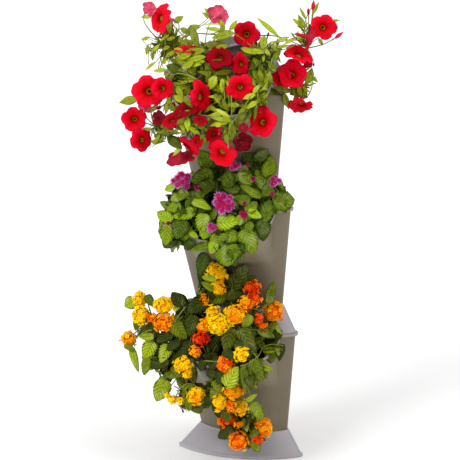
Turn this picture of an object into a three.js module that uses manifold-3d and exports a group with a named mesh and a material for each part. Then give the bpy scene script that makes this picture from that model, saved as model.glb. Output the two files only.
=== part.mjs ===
// Corner planter tower: three pots with planting bays, stacked through sloping covers on a flared foot.
// Millimetres, +Z up. The tower's front looks along -Y and its back corner stands at +Y.
// The origin is on the floor, in the middle of the foot.
import * as THREE from "three";
import { mergeVertices } from "three/addons/utils/BufferGeometryUtils.js";
import Module from "manifold-3d";

const wasm = await Module();
wasm.setup();

// Driving dimensions of the stack
const TIER_PITCH = 240; // from one rim to the next
const SKIRT_RISE = 38; // height of the foot and of each cover, from rim to neck
const SOCKET_DEPTH = 14; // how deep a pot's neck stands in its socket
const TIERS = ["lower", "middle", "upper"];

// Plan outlines. Span runs from the back corner along a side wall to the wing tip,
// middle from the back corner to the centre of the curved front.
const RIM_SPAN = 169;
const RIM_MIDDLE = 156;
const NECK_SPAN = 117;
const NECK_MIDDLE = 113;
const NECK_SHIFT = 10; // how far the neck's back corner stands forward of the rim's
const BACK_RUN = 7; // length of the rounding at the back corner
const TIP_TURN = THREE.MathUtils.degToRad(3.2); // share of the front turned over to each rounded wing tip
const WING_TURN = THREE.MathUtils.degToRad(45);

// Mouldings
const WALL = 2.6;
const SKIRT_WALL = 4.2; // a sloping skirt's wall, measured level
const LEDGE = 7; // width of the ledge that a pot's floor rests on
const BEAD_HEIGHT = 7;
const BEAD_PROUD = 3.5;
const BEAD_EDGE = 1; // small chamfer along the bead
const SEAT_WIDTH = 1.1; // how far the cover's seat is let into the bead
const SEAT_DEPTH = 5;
const FLANGE_HEIGHT = 4; // flange round the foot
const LAND = 1.6; // flat band round a neck
const RIB = 3;
const PAD_RADIUS = 13; // flat pad where the foot's ribs cross
const FIT_GAP = 0.5; // sideways clearance of a nested piece
const REST_GAP = 0.3; // clearance under a piece that rests on another
const OVERRUN = 4; // how far a cutter runs past what it cuts

// Planting bay
const BAY_TURN = THREE.MathUtils.degToRad(33);
const BAY_STEPS = 12;
const BAY_REACH = 72;
const BAY_HEIGHT = 115; // from the rim down to the crease under the bay
const LIP_DIP = 34;
const BAY_FULLNESS = 2.6; // exponent of the bay's plan: higher is squarer
const BOWL_FULLNESS = 1.6; // exponent of the bay's section: higher is rounder
const BAY_ROW_SHARES = [0, 0.1, 0.28, 0.5, 0.72, 0.88];

// The mouth in a cover: half-widths as shares of the rim's span, at shares of the skirt's rise
const MOUTH_SHARES = [
  [0.505, -0.2],
  [0.505, 0],
  [0.42, 0.16],
  [0.335, 0.55],
  [0.27, 0.8],
];
const MOUTH_CROWN_SHARE = 0.88;
const MOUTH_TURN_SHARE = 0.9; // the mouth's upper corners turn in here
const MOUTH_FLAT_SHARE = 0.6; // and its crown is level between these

// Filling
const SOIL_DROP = 48; // soil surface below the rim
const GRID_RISE = 9;
const GRID_THICKNESS = 2.5;
const GRID_LEG_RADIUS = 5;
const GRID_SLOT_WIDTH = 5;
const GRID_SLOT_LENGTH = 24;
const GRID_SLOT_PITCH = 14;
const GRID_SLOT_COLUMNS = [-2, -1, 0, 1, 2];
const GRID_LEG_TURNS = [-40, 40, 180]; // degrees from the front
const FLOOR_MIDDLE_SHARE = 0.56; // where a pot's floor has its middle, along the line to the back corner
const DRAIN_HOLES = 4; // round the one in the middle
const DRAIN_RADIUS = 4.5;
const DRAIN_RING = 38; // drain holes stand this far from the floor's middle

// Plants
const CROWN_RADIUS = 11;
const STEM_RADIUS = 4.5;
const SHOOT_RADIUS = 2.2;
const SHOOT_END_RADIUS = 1.2;
const SHOOT_STEPS = 3;
const SHOOT_ARCH_SHARE = 0.15; // how high a shoot arches, as a share of its length
const CLUMP_DEPTH_SHARE = 0.75; // a clump's depth as a share of its width
const CLUMP_VALLEY_SHARE = 0.86; // how far the dips between a clump's leaf tips reach out
const BLOOM_LEAN_SHARE = 0.3; // how far a bloom stands past the end of its shoot
const LIP_CLEARANCE = 12; // how far a hanging shoot keeps off the lip of its bay
const GROWING_ROOM = 2.5; // space that leaves keep to whatever stands beside them
const PETUNIA_RADIUS = 21; // of a usual bloom of each kind
const AGERATUM_RADIUS = 20;
const LANTANA_RADIUS = 17;

// Where each plant's shoots end: across as a share of the rim's span, front as a share of the lip's reach
// from the back corner, up as a share of the pitch, measured from the pot's rim, and the bloom's size as a
// share of its kind's usual radius.
const SHOOT_SHARES = {
  lower_left_lantana: [
    [-0.93, 0.84, 0.22, 0.9],
    [-0.6, 0.96, 0.25, 1.3],
    [-1.05, 0.89, -0.04, 0.75],
    [-0.35, 1.14, -0.11, 0.95],
    [-0.49, 1.1, -0.39, 0.6],
    [-0.2, 1.14, -0.33, 0.85],
    [-0.12, 0.78, 0.54, 0.85],
    [-0.12, 1.05, 0.2, 0.9],
    [-0.07, 0.95, 0.3, 0.8],
    [-0.17, 1.11, 0.06, 0.6],
  ],
  lower_right_lantana: [
    [0.05, 1.07, 0.23, 0.9],
    [0.17, 0.96, 0.3, 0.9],
    [0.28, 0.87, 0.36, 0.8],
    [0.33, 0.79, 0.43, 0.7],
    [0.51, 0.72, 0.22, 0.95],
    [0.41, 0.84, 0.17, 0.6],
    [0.12, 1.11, -0.07, 0.95],
    [0.28, 1.07, -0.01, 0.75],
    [0.13, 0.98, -0.37, 1.1],
    [-0.01, 1.02, -0.44, 0.75],
    [0.2, 0.98, -0.5, 0.75],
    [0.06, 0.91, -0.61, 0.95],
    [0.35, 0.74, -0.75, 1.05],
    [0.11, 0.84, -0.8, 1.1],
  ],
  middle_left_ageratum: [
    [-0.47, 0.78, 0.24, 1.1],
    [-0.21, 0.89, 0.24, 0.45],
    [-0.53, 0.94, -0.05, 0.4],
  ],
  middle_right_ageratum: [
    [0.09, 0.96, 0.16, 1.15],
    [0.5, 0.58, 0.17, 0.7],
    [0.13, 0.7, 0.34, 0.7],
    [0.04, 1.09, 0, 0.5],
    [0.31, 0.89, 0.15, 0.35],
    [0.32, 0.96, 0.08, 0.45],
    [0.26, 0.72, 0.25, 0.35],
  ],
  upper_left_petunia: [
    [-0.67, 0.86, 0, 1.5],
    [-0.9, 0.84, -0.28, 1],
    [-0.8, 0.9, -0.43, 0.9],
    [-0.46, 0.96, -0.2, 0.8],
    [-0.26, 1.04, -0.11, 0.75],
    [-0.09, 1.05, 0.01, 1.1],
    [-0.28, 1.05, -0.47, 0.9],
    [-0.13, 1.09, -0.33, 0.6],
    [-0.76, 0.8, -0.16, 0.7],
  ],
  upper_right_petunia: [
    [0.31, 0.89, 0.06, 1.15],
    [0.52, 0.87, -0.2, 1.15],
    [0.14, 1.09, -0.4, 1.15],
    [0.34, 0.96, -0.34, 0.85],
    [0.1, 1.08, -0.27, 0.7],
    [0.05, 1.11, -0.12, 0.5],
  ],
  neck_left_petunia: [
    [-0.76, 0.49, 0.4, 1.1],
    [-0.87, 0.42, 0.5, 0.6],
    [-0.11, 0.31, 0.43, 0.8],
    [-0.38, 0.67, 0.26, 0.9],
    [-0.04, 0.72, 0.25, 1.15],
  ],
  neck_right_petunia: [
    [0.22, 0.49, 0.35, 1.05],
    [1.06, 0.4, 0.4, 0.95],
    [0.94, 0.36, 0.56, 0.4],
    [0.88, 0.38, 0.3, 0.7],
    [0.81, 0.5, 0.21, 0.9],
    [0.76, 0.67, 0.11, 1.3],
    [0.9, 0.68, -0.14, 0.85],
    [0.26, 0.74, 0.2, 0.8],
  ],
};
// The clumps of leaves of each plant: their middles in the same shares, and their half width and half
// height as shares of the rim's span.
const CLUMP_SHARES = {
  neck_left_petunia: [
    [-0.17, 0.66, 0.15, 0.23, 0.19],
    [-0.78, 0.22, 0.08, 0.25, 0.23],
  ],
  neck_right_petunia: [
    [0.45, 0.62, 0.19, 0.25, 0.21],
    [0.82, 0.35, 0.21, 0.18, 0.29],
    [0.74, 0.42, -0.09, 0.13, 0.17],
  ],
  upper_left_petunia: [
    [-0.54, 0.66, -0.09, 0.28, 0.22],
    [-0.7, 0.73, -0.36, 0.24, 0.19],
    [-0.18, 1.04, -0.21, 0.22, 0.22],
  ],
  upper_right_petunia: [
    [0.16, 0.79, -0.06, 0.22, 0.24],
    [0.46, 0.89, -0.05, 0.17, 0.18],
    [0.29, 1.1, -0.2, 0.16, 0.17],
  ],
  middle_left_ageratum: [
    [-0.41, 0.81, 0.05, 0.27, 0.27],
    [-0.48, 0.93, -0.13, 0.19, 0.22],
    [-0.2, 0.73, 0.21, 0.2, 0.18],
    [-0.08, 0.93, -0.05, 0.19, 0.23],
  ],
  middle_right_ageratum: [
    [0.15, 0.7, 0.24, 0.22, 0.23],
    [0.44, 0.64, 0.12, 0.25, 0.27],
    [0.32, 0.87, -0.02, 0.21, 0.28],
    [0.31, 0.55, 0.35, 0.19, 0.17],
    [0.16, 1.05, -0.18, 0.16, 0.15],
  ],
  lower_left_lantana: [
    [-0.78, 0.83, 0.14, 0.29, 0.26],
    [-0.39, 0.83, 0.14, 0.27, 0.28],
    [-0.62, 0.9, -0.16, 0.28, 0.27],
    [-0.37, 0.99, -0.4, 0.23, 0.22],
    [-0.14, 0.7, 0.42, 0.19, 0.22],
  ],
  lower_right_lantana: [
    [0.13, 0.81, 0.13, 0.27, 0.29],
    [0.39, 0.7, -0.01, 0.22, 0.26],
    [0.3, 1.08, -0.09, 0.23, 0.24],
    [0.04, 1.03, -0.35, 0.2, 0.25],
    [0.2, 0.87, -0.68, 0.21, 0.18],
  ],
};
// Where each kind's crown stands, in the same shares; across is mirrored for a left-hand plant.
const BAY_CROWN_SHARES = [0.18, 0.82, 0.07];
const NECK_CROWN_SHARES = [0.13, 0.33, 0.25];
const TRUMPET_LOBES = 5;
const TRUMPET_RIM_SHARES = [1, 0.85]; // of its lobes and of the dips between them
const TRUMPET_DEPTH_SHARES = [0.2, 0.8]; // of its throat and of its base behind
const DOME_HEIGHT_SHARE = 0.8;
const BLOOM_FACING = new THREE.Vector3(0, -1, 0.6); // blooms turn to the front and the light

const BACK_CORNER_Y = RIM_MIDDLE / 2;
const LIP_REACH = RIM_MIDDLE + BAY_REACH; // from the back corner to the middle of a bay's lip
const NECK = { span: NECK_SPAN, middle: NECK_MIDDLE, shift: NECK_SHIFT };
const RIM = { span: RIM_SPAN, middle: RIM_MIDDLE, shift: 0 };
const POT_RIM = inset(RIM, BEAD_PROUD);
const POT_HEIGHT = TIER_PITCH - SKIRT_RISE;
const POT_FLOOR = -POT_HEIGHT - SOCKET_DEPTH + REST_GAP;
const GRID_FLOOR = POT_FLOOR + WALL + REST_GAP;

const COLOURS = {
  foot: 0x9a969c,
  pot: 0x726b66,
  cover: 0xa29fa8,
  grid: 0x3b3a3c,
  soil: 0x3a2a1e,
  petunia: 0x86a02c,
  ageratum: 0x5e8a1f,
  lantana: 0x4c7021,
};

// An outline moved inwards by a depth, square to its walls: the back corner comes forward by the diagonal.
function inset(outline, depth) {
  return {
    span: outline.span - 2 * depth,
    middle: outline.middle - (1 + Math.SQRT2) * depth,
    shift: outline.shift + Math.SQRT2 * depth,
  };
}

function blend(a, b, share) {
  return {
    span: THREE.MathUtils.lerp(a.span, b.span, share),
    middle: THREE.MathUtils.lerp(a.middle, b.middle, share),
    shift: THREE.MathUtils.lerp(a.shift, b.shift, share),
  };
}

// A pot's outer outline at a height measured from its rim.
function potOutline(height) {
  return blend(POT_RIM, NECK, -height / POT_HEIGHT);
}

function wingPoint(side, length) {
  return new THREE.Vector2(side * length * Math.sin(WING_TURN), -length * Math.cos(WING_TURN));
}

function frontPoint(outline, turn, swell) {
  const reach = outline.span - (outline.span - outline.middle) * Math.cos(2 * turn) + swell;
  return new THREE.Vector2(reach * Math.sin(turn), -reach * Math.cos(turn));
}

// Turns of the stations along the curved front, from the left wing tip to the right one.
function frontTurns() {
  const end = WING_TURN - TIP_TURN;
  const turns = [-end, -(end + BAY_TURN) / 2];
  for (let step = 0; step <= BAY_STEPS; step++) {
    turns.push(BAY_TURN * ((2 * step) / BAY_STEPS - 1));
  }
  return turns.concat((end + BAY_TURN) / 2, end);
}
const FRONT_TURNS = frontTurns();

// One closed ring of points, counter-clockwise from above: back corner, left wing, front, right wing.
// The height may change with the turn, and the swell moves front points away from the back corner.
function ring(outline, height, swell = () => 0) {
  const heightAt = typeof height === "function" ? height : () => height;
  const tipRun = outline.span * TIP_TURN;
  const end = WING_TURN - TIP_TURN;
  const thirds = [1 / 3, 2 / 3];
  const corner = (from, at, to, shares) => {
    const curve = new THREE.QuadraticBezierCurve(from, at, to);
    return shares.map((share) => [curve.getPoint(share), WING_TURN]);
  };
  const leftFront = frontPoint(outline, -end, 0);
  const rightFront = frontPoint(outline, end, 0);
  const places = [
    ...corner(wingPoint(1, BACK_RUN), new THREE.Vector2(), wingPoint(-1, BACK_RUN), [0, ...thirds, 1]),
    ...corner(wingPoint(-1, outline.span - tipRun), wingPoint(-1, outline.span), leftFront, [0, ...thirds]),
    ...FRONT_TURNS.map((turn) => [frontPoint(outline, turn, swell(turn)), turn]),
    ...corner(rightFront, wingPoint(1, outline.span), wingPoint(1, outline.span - tipRun), [...thirds, 1]),
  ];
  return places.map(
    ([place, turn]) =>
      new THREE.Vector3(place.x, BACK_CORNER_Y - outline.shift + place.y, heightAt(turn)),
  );
}

// Joins rings of equally many points into one closed surface.
// A closed loft runs from its last ring back to its first; an open one is capped at both ends.
function loft(rings, closed = false) {
  const count = rings[0].length;
  const points = rings.flat();
  const faces = [];
  const rows = closed ? rings.length : rings.length - 1;
  for (let row = 0; row < rows; row++) {
    const next = (row + 1) % rings.length;
    for (let i = 0; i < count; i++) {
      const j = (i + 1) % count;
      const [a, b] = [row * count + i, row * count + j];
      const [c, d] = [next * count + j, next * count + i];
      const shortcut = points[b].distanceTo(points[d]) < points[a].distanceTo(points[c]);
      faces.push(...(shortcut ? [a, b, d, b, c, d] : [a, b, c, a, c, d]));
    }
  }
  if (!closed) {
    const last = (rings.length - 1) * count;
    const middle = (ringPoints) =>
      ringPoints.reduce((sum, p) => sum.add(p), new THREE.Vector3()).divideScalar(ringPoints.length);
    points.push(middle(rings[0]), middle(rings[rings.length - 1]));
    for (let i = 0; i < count; i++) {
      const j = (i + 1) % count;
      faces.push(points.length - 2, j, i);
      faces.push(points.length - 1, last + i, last + j);
    }
  }
  const geometry = new THREE.BufferGeometry().setFromPoints(points);
  return geometry.setIndex(faces);
}

function toSolid(geometry) {
  const bare = geometry.clone();
  bare.deleteAttribute("normal");
  bare.deleteAttribute("uv");
  const merged = mergeVertices(bare);
  return new wasm.Manifold(
    new wasm.Mesh({
      numProp: 3,
      vertProperties: merged.attributes.position.array,
      triVerts: new Uint32Array(merged.index.array),
    }),
  );
}

function toGeometry(solid) {
  const mesh = solid.getMesh();
  const places = new Float32Array(mesh.numVert * 3);
  for (let i = 0; i < mesh.numVert; i++) {
    places.set(mesh.vertProperties.subarray(i * mesh.numProp, i * mesh.numProp + 3), i * 3);
  }
  const geometry = new THREE.BufferGeometry();
  geometry.setAttribute("position", new THREE.BufferAttribute(places, 3));
  geometry.setIndex(new THREE.BufferAttribute(mesh.triVerts, 1));
  return geometry;
}

function piece(name, solid, look) {
  const geometry = toGeometry(solid);
  geometry.computeVertexNormals();
  const mesh = new THREE.Mesh(geometry, new THREE.MeshStandardMaterial(look));
  mesh.name = name;
  return mesh;
}

// How far the bay stands out at a turn, as a share of its full reach. A depth narrows it for an inner wall.
function bayShare(turn, depth = 0) {
  const across = Math.min(Math.abs(turn) / (BAY_TURN - depth / RIM_MIDDLE), 1);
  return 1 - across ** BAY_FULLNESS;
}

function lipHeight(turn) {
  return -LIP_DIP * bayShare(turn);
}

// The bay's section is a bowl: flat where it leaves the wall, upright at the lip.
function bowl(share) {
  const clamped = THREE.MathUtils.clamp(share, 0, 1);
  return 1 - (1 - clamped) ** BOWL_FULLNESS;
}

function baySwell(turn, height, depth) {
  const share = (height - depth + BAY_HEIGHT) / (lipHeight(turn) + BAY_HEIGHT);
  return BAY_REACH * bayShare(turn, depth) * bowl(share);
}

// A ring of the pot's wall: its height may follow the lip's dip, and out is how far it stands off the wall.
// A depth lifts and narrows the bay, for a wall inside it.
function potRing(heightAt, out, depth = 0) {
  const level = heightAt(WING_TURN);
  return ring(inset(potOutline(level), -out), heightAt, (turn) => {
    const height = heightAt(turn);
    const flare = potOutline(height).middle - potOutline(level).middle;
    return flare * bayShare(turn) + baySwell(turn, height, depth);
  });
}

function bayRow(share, depth) {
  const heightAt = (turn) => THREE.MathUtils.lerp(depth - BAY_HEIGHT, lipHeight(turn) - BEAD_HEIGHT, share);
  return potRing(heightAt, -depth, depth);
}

function below(drop) {
  return (turn) => lipHeight(turn) - drop;
}

function potSolid() {
  const rings = [
    potRing(() => POT_FLOOR, 0),
    ...BAY_ROW_SHARES.map((share) => bayRow(share, 0)),
    potRing(below(BEAD_HEIGHT), 0),
    potRing(below(BEAD_HEIGHT), BEAD_PROUD),
    potRing(below(BEAD_EDGE), BEAD_PROUD),
    potRing(below(0), BEAD_PROUD - BEAD_EDGE),
    potRing(below(0), SEAT_WIDTH),
    potRing(below(SEAT_DEPTH), SEAT_WIDTH),
    potRing(below(SEAT_DEPTH), -WALL),
    ...BAY_ROW_SHARES.toReversed().map((share) => bayRow(share, WALL)),
    potRing(() => POT_FLOOR + WALL, -WALL),
  ];
  let solid = toSolid(loft(rings));
  for (const [x, y] of drainPlaces()) {
    const drill = new THREE.CylinderGeometry(DRAIN_RADIUS, DRAIN_RADIUS, WALL + 2 * OVERRUN, 8);
    drill.rotateX(Math.PI / 2).translate(x, y, POT_FLOOR + WALL / 2);
    solid = solid.subtract(toSolid(drill));
  }
  return solid;
}

// Middle of a pot's floor, measured from the tower's axis
function floorMiddle() {
  return BACK_CORNER_Y - NECK_SHIFT - NECK_MIDDLE * FLOOR_MIDDLE_SHARE;
}

function drainPlaces() {
  const places = [[0, floorMiddle()]];
  for (let hole = 0; hole < DRAIN_HOLES; hole++) {
    const angle = (2 * Math.PI * hole) / DRAIN_HOLES;
    places.push([DRAIN_RING * Math.sin(angle), floorMiddle() - DRAIN_RING * Math.cos(angle)]);
  }
  return places;
}

// The sloping skirt with the socket that the next pot stands in. Heights are measured from the rim.
function skirtRings(base, lowerRings) {
  const floor = SKIRT_RISE - SOCKET_DEPTH;
  const hole = (height, out) => inset(potOutline(height - TIER_PITCH), -FIT_GAP - out);
  const slope = (height) => blend(base, hole(SKIRT_RISE, LAND), height / (SKIRT_RISE - BEAD_EDGE));
  return [
    ...lowerRings,
    ring(slope(SKIRT_RISE - BEAD_EDGE), SKIRT_RISE - BEAD_EDGE),
    ring(hole(SKIRT_RISE, LAND - BEAD_EDGE), SKIRT_RISE),
    ring(hole(SKIRT_RISE, 0), SKIRT_RISE),
    ring(hole(floor, 0), floor),
    ring(hole(floor, -LEDGE), floor),
    ring(hole(floor, -LEDGE), floor - WALL),
    ring(inset(slope(floor - WALL), SKIRT_WALL), floor - WALL),
  ];
}

function footSolid() {
  const edge = inset(RIM, BEAD_PROUD);
  const shell = loft(
    [
      ring(inset(edge, SKIRT_WALL), 0),
      ...skirtRings(edge, [
        ring(RIM, 0),
        ring(RIM, FLANGE_HEIGHT),
        ring(inset(edge, -BEAD_EDGE), FLANGE_HEIGHT + BEAD_EDGE),
      ]),
    ],
    true,
  );
  // Ribs cross under the socket and carry the floor of the lowest pot
  const top = SKIRT_RISE - SOCKET_DEPTH;
  const envelope = toSolid(loft([ring(inset(edge, WALL), 0), ring(inset(NECK, -FIT_GAP - WALL), top)]));
  const across = new THREE.BoxGeometry(2 * RIM_SPAN, RIB, top).translate(0, 0, top / 2);
  const along = new THREE.BoxGeometry(RIB, 2 * RIM_SPAN, top).translate(0, 0, top / 2);
  const pad = new THREE.CylinderGeometry(PAD_RADIUS, PAD_RADIUS, top, 16);
  pad.rotateX(Math.PI / 2).translate(0, 0, top / 2);
  const ribs = toSolid(across).add(toSolid(along)).add(toSolid(pad)).intersect(envelope);
  return toSolid(shell).add(ribs);
}

function coverSolid() {
  const base = inset(POT_RIM, FIT_GAP - SEAT_WIDTH);
  const seatHeight = REST_GAP - SEAT_DEPTH;
  const seat = inset(potOutline(seatHeight), FIT_GAP - SEAT_WIDTH);
  const lowerRings = [ring(seat, seatHeight), ring(base, BEAD_EDGE)];
  const shell = loft([ring(inset(seat, SKIRT_WALL), seatHeight), ...skirtRings(base, lowerRings)], true);
  return toSolid(shell).subtract(toSolid(mouthCutter()));
}

// A U-shaped opening across the front of a cover, cut straight back to the socket.
function mouthCutter() {
  const right = MOUTH_SHARES.map(([half, rise]) => new THREE.Vector2(half * RIM_SPAN, rise * SKIRT_RISE));
  const crown = MOUTH_CROWN_SHARE * SKIRT_RISE;
  const shape = new THREE.Shape();
  shape.moveTo(right[0].x, right[0].y);
  right.slice(1).forEach((point) => shape.lineTo(point.x, point.y));
  const last = right[right.length - 1];
  const [turnX, flatX] = [last.x * MOUTH_TURN_SHARE, last.x * MOUTH_FLAT_SHARE];
  shape.quadraticCurveTo(turnX, crown, flatX, crown);
  shape.lineTo(-flatX, crown);
  shape.quadraticCurveTo(-turnX, crown, -last.x, last.y);
  right
    .slice(0, -1)
    .reverse()
    .forEach((point) => shape.lineTo(-point.x, point.y));
  const depth = RIM_SPAN;
  const cutter = new THREE.ExtrudeGeometry(shape, { depth, bevelEnabled: false, curveSegments: 4 });
  const back = BACK_CORNER_Y - NECK_SHIFT - NECK_MIDDLE - FIT_GAP - WALL - SKIRT_WALL;
  return cutter.rotateX(Math.PI / 2).translate(0, back, 0);
}

// The space that a pot or a cover takes up with all its hollows, larger by the room all round.
function potEnvelope(room) {
  const rings = [
    potRing(() => POT_FLOOR - room, room),
    ...BAY_ROW_SHARES.map((share) => bayRow(share, -room)),
    potRing(below(BEAD_HEIGHT + room), BEAD_PROUD + room),
    potRing(below(-room), BEAD_PROUD + room),
  ];
  return toSolid(loft(rings));
}

function coverEnvelope(room) {
  const base = inset(POT_RIM, FIT_GAP - SEAT_WIDTH - room);
  const top = inset(potOutline(SKIRT_RISE - TIER_PITCH), -FIT_GAP - LAND - room);
  return toSolid(loft([ring(base, -SEAT_DEPTH), ring(base, BEAD_EDGE), ring(top, SKIRT_RISE + room)]));
}

// Soil fills the pot and its bay up to one level surface.
function soilSolid() {
  const depth = WALL + FIT_GAP;
  const bottom = GRID_FLOOR + GRID_RISE + REST_GAP;
  const rings = [
    potRing(() => bottom, -depth, depth),
    ...BAY_ROW_SHARES.map((share) => bayRow(share, depth)),
    potRing(below(SEAT_DEPTH), -depth, depth),
  ];
  const over = new THREE.BoxGeometry(4 * RIM_SPAN, 4 * RIM_SPAN, 2 * SOIL_DROP);
  return toSolid(loft(rings)).subtract(toSolid(over));
}

// A slotted plate on short legs that keeps the soil off the drain holes.
function gridSolid() {
  const top = GRID_FLOOR + GRID_RISE;
  const outline = inset(potOutline(top - GRID_THICKNESS), WALL + FIT_GAP);
  const shape = new THREE.Shape(ring(outline, 0).map((point) => new THREE.Vector2(point.x, point.y)));
  const plate = new THREE.ExtrudeGeometry(shape, { depth: GRID_THICKNESS, bevelEnabled: false });
  let solid = toSolid(plate.translate(0, 0, top - GRID_THICKNESS));
  for (const row of [-1, 1]) {
    for (const column of GRID_SLOT_COLUMNS) {
      const slot = new THREE.BoxGeometry(GRID_SLOT_WIDTH, GRID_SLOT_LENGTH, 2 * GRID_RISE);
      const y = floorMiddle() + (row * (GRID_SLOT_LENGTH + GRID_SLOT_WIDTH)) / 2;
      solid = solid.subtract(toSolid(slot.translate(column * GRID_SLOT_PITCH, y, top)));
    }
  }
  const height = GRID_RISE - GRID_THICKNESS / 2;
  for (const degrees of GRID_LEG_TURNS) {
    const turn = THREE.MathUtils.degToRad(degrees);
    const leg = new THREE.CylinderGeometry(GRID_LEG_RADIUS, GRID_LEG_RADIUS, height, 8).rotateX(Math.PI / 2);
    const [x, y] = [DRAIN_RING * Math.sin(turn), floorMiddle() - DRAIN_RING * Math.cos(turn)];
    solid = solid.add(toSolid(leg.translate(x, y, GRID_FLOOR + height / 2)));
  }
  return solid;
}

// A place given in shares, in the frame of its tier, whose rim is at height 0.
function placeOf([across, front, up]) {
  return new THREE.Vector3(across * RIM_SPAN, BACK_CORNER_Y - front * LIP_REACH, up * TIER_PITCH);
}

// Turns and moves a geometry so that its +Z looks along a direction from a place.
function aim(geometry, place, direction) {
  const turn = new THREE.Quaternion().setFromUnitVectors(new THREE.Vector3(0, 0, 1), direction);
  return geometry.applyQuaternion(turn).translate(place.x, place.y, place.z);
}

// A tube along a curve. Each ring takes its heading from the ring before, so that the tube never twists.
function taperedTube(curve, steps, sides, startRadius, endRadius) {
  const rings = [];
  const heading = new THREE.Vector3(1, 0, 0);
  for (let step = 0; step <= steps; step++) {
    const share = step / steps;
    const centre = curve.getPoint(share);
    const along = curve.getTangent(share);
    const side = heading.projectOnPlane(along).normalize();
    const other = new THREE.Vector3().crossVectors(along, side);
    const radius = THREE.MathUtils.lerp(startRadius, endRadius, share);
    rings.push(
      Array.from({ length: sides }, (_, i) => {
        const angle = (2 * Math.PI * i) / sides;
        const out = side.clone().multiplyScalar(radius * Math.cos(angle));
        return out.addScaledVector(other, radius * Math.sin(angle)).add(centre);
      }),
    );
  }
  return toSolid(loft(rings));
}

// A clump of leaves: an egg whose tips stand out between shallow dips. Room makes it larger all round.
function clumpSolid([across, front, up, width, height], room = 0) {
  const geometry = new THREE.IcosahedronGeometry(1, 1);
  const places = geometry.getAttribute("position");
  const tips = new THREE.IcosahedronGeometry(1, 0).getAttribute("position");
  const point = new THREE.Vector3();
  const tip = new THREE.Vector3();
  for (let i = 0; i < places.count; i++) {
    point.fromBufferAttribute(places, i);
    let nearest = 2;
    for (let k = 0; k < tips.count; k++) {
      nearest = Math.min(nearest, tip.fromBufferAttribute(tips, k).distanceTo(point));
    }
    const reach = nearest < 1 / 8 ? 1 : CLUMP_VALLEY_SHARE;
    places.setXYZ(i, point.x * reach, point.y * reach, point.z * reach);
  }
  const middle = placeOf([across, front, up]);
  const half = width * RIM_SPAN + room;
  geometry.scale(half, half * CLUMP_DEPTH_SHARE, height * RIM_SPAN + room);
  return toSolid(geometry.translate(middle.x, middle.y, middle.z));
}

// An open five-lobed bloom that looks along +Z and narrows to its stalk behind.
function trumpetGeometry(radius) {
  const points = [];
  const corners = 2 * TRUMPET_LOBES;
  for (let i = 0; i < corners; i++) {
    const angle = (2 * Math.PI * i) / corners;
    const reach = radius * TRUMPET_RIM_SHARES[i % 2];
    points.push(new THREE.Vector3(reach * Math.cos(angle), reach * Math.sin(angle), 0));
  }
  TRUMPET_DEPTH_SHARES.forEach((share) => points.push(new THREE.Vector3(0, 0, -share * radius)));
  const faces = Array.from({ length: corners }, (_, i) => {
    const next = (i + 1) % corners;
    return [i, next, corners, next, i, corners + 1];
  });
  return new THREE.BufferGeometry().setFromPoints(points).setIndex(faces.flat());
}

function domeGeometry(radius) {
  return new THREE.SphereGeometry(radius, 6, 3).rotateX(Math.PI / 2).scale(1, 1, DOME_HEIGHT_SHARE);
}

function archCurve(from, end) {
  const bend = from.clone().lerp(end, 0.5);
  bend.z += SHOOT_ARCH_SHARE * from.distanceTo(end);
  return new THREE.QuadraticBezierCurve3(from, bend, end);
}

// The way a shoot takes from its crown: it arches up, or hangs clear of the lip of its bay.
function shootCurve(crown, end) {
  const corner = new THREE.Vector3(0, BACK_CORNER_Y, 0);
  const flat = end.clone().sub(corner).setZ(0);
  const turn = Math.atan2(flat.x, -flat.y);
  const rimReach = frontPoint(RIM, turn, BAY_REACH * bayShare(turn)).length();
  const points = [crown];
  const outside = flat.length() > rimReach - LIP_CLEARANCE;
  if (end.z < crown.z && (outside || end.z < lipHeight(turn))) {
    const over = flat.clone().setLength(rimReach + LIP_CLEARANCE).add(corner);
    points.push(crown.clone().lerp(over, 0.5).setZ(crown.z));
    points.push(over.clone().setZ(lipHeight(turn) + LIP_CLEARANCE));
    if (end.z < lipHeight(turn) - 2 * LIP_CLEARANCE) {
      points.push(over.clone().setZ(lipHeight(turn) - LIP_CLEARANCE));
    }
  } else {
    const middle = crown.clone().lerp(end, 0.5);
    points.push(middle.setZ(Math.max(middle.z, crown.z) + SHOOT_ARCH_SHARE * crown.distanceTo(end)));
  }
  return new THREE.CatmullRomCurve3([...points, end], false, "centripetal");
}

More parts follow.
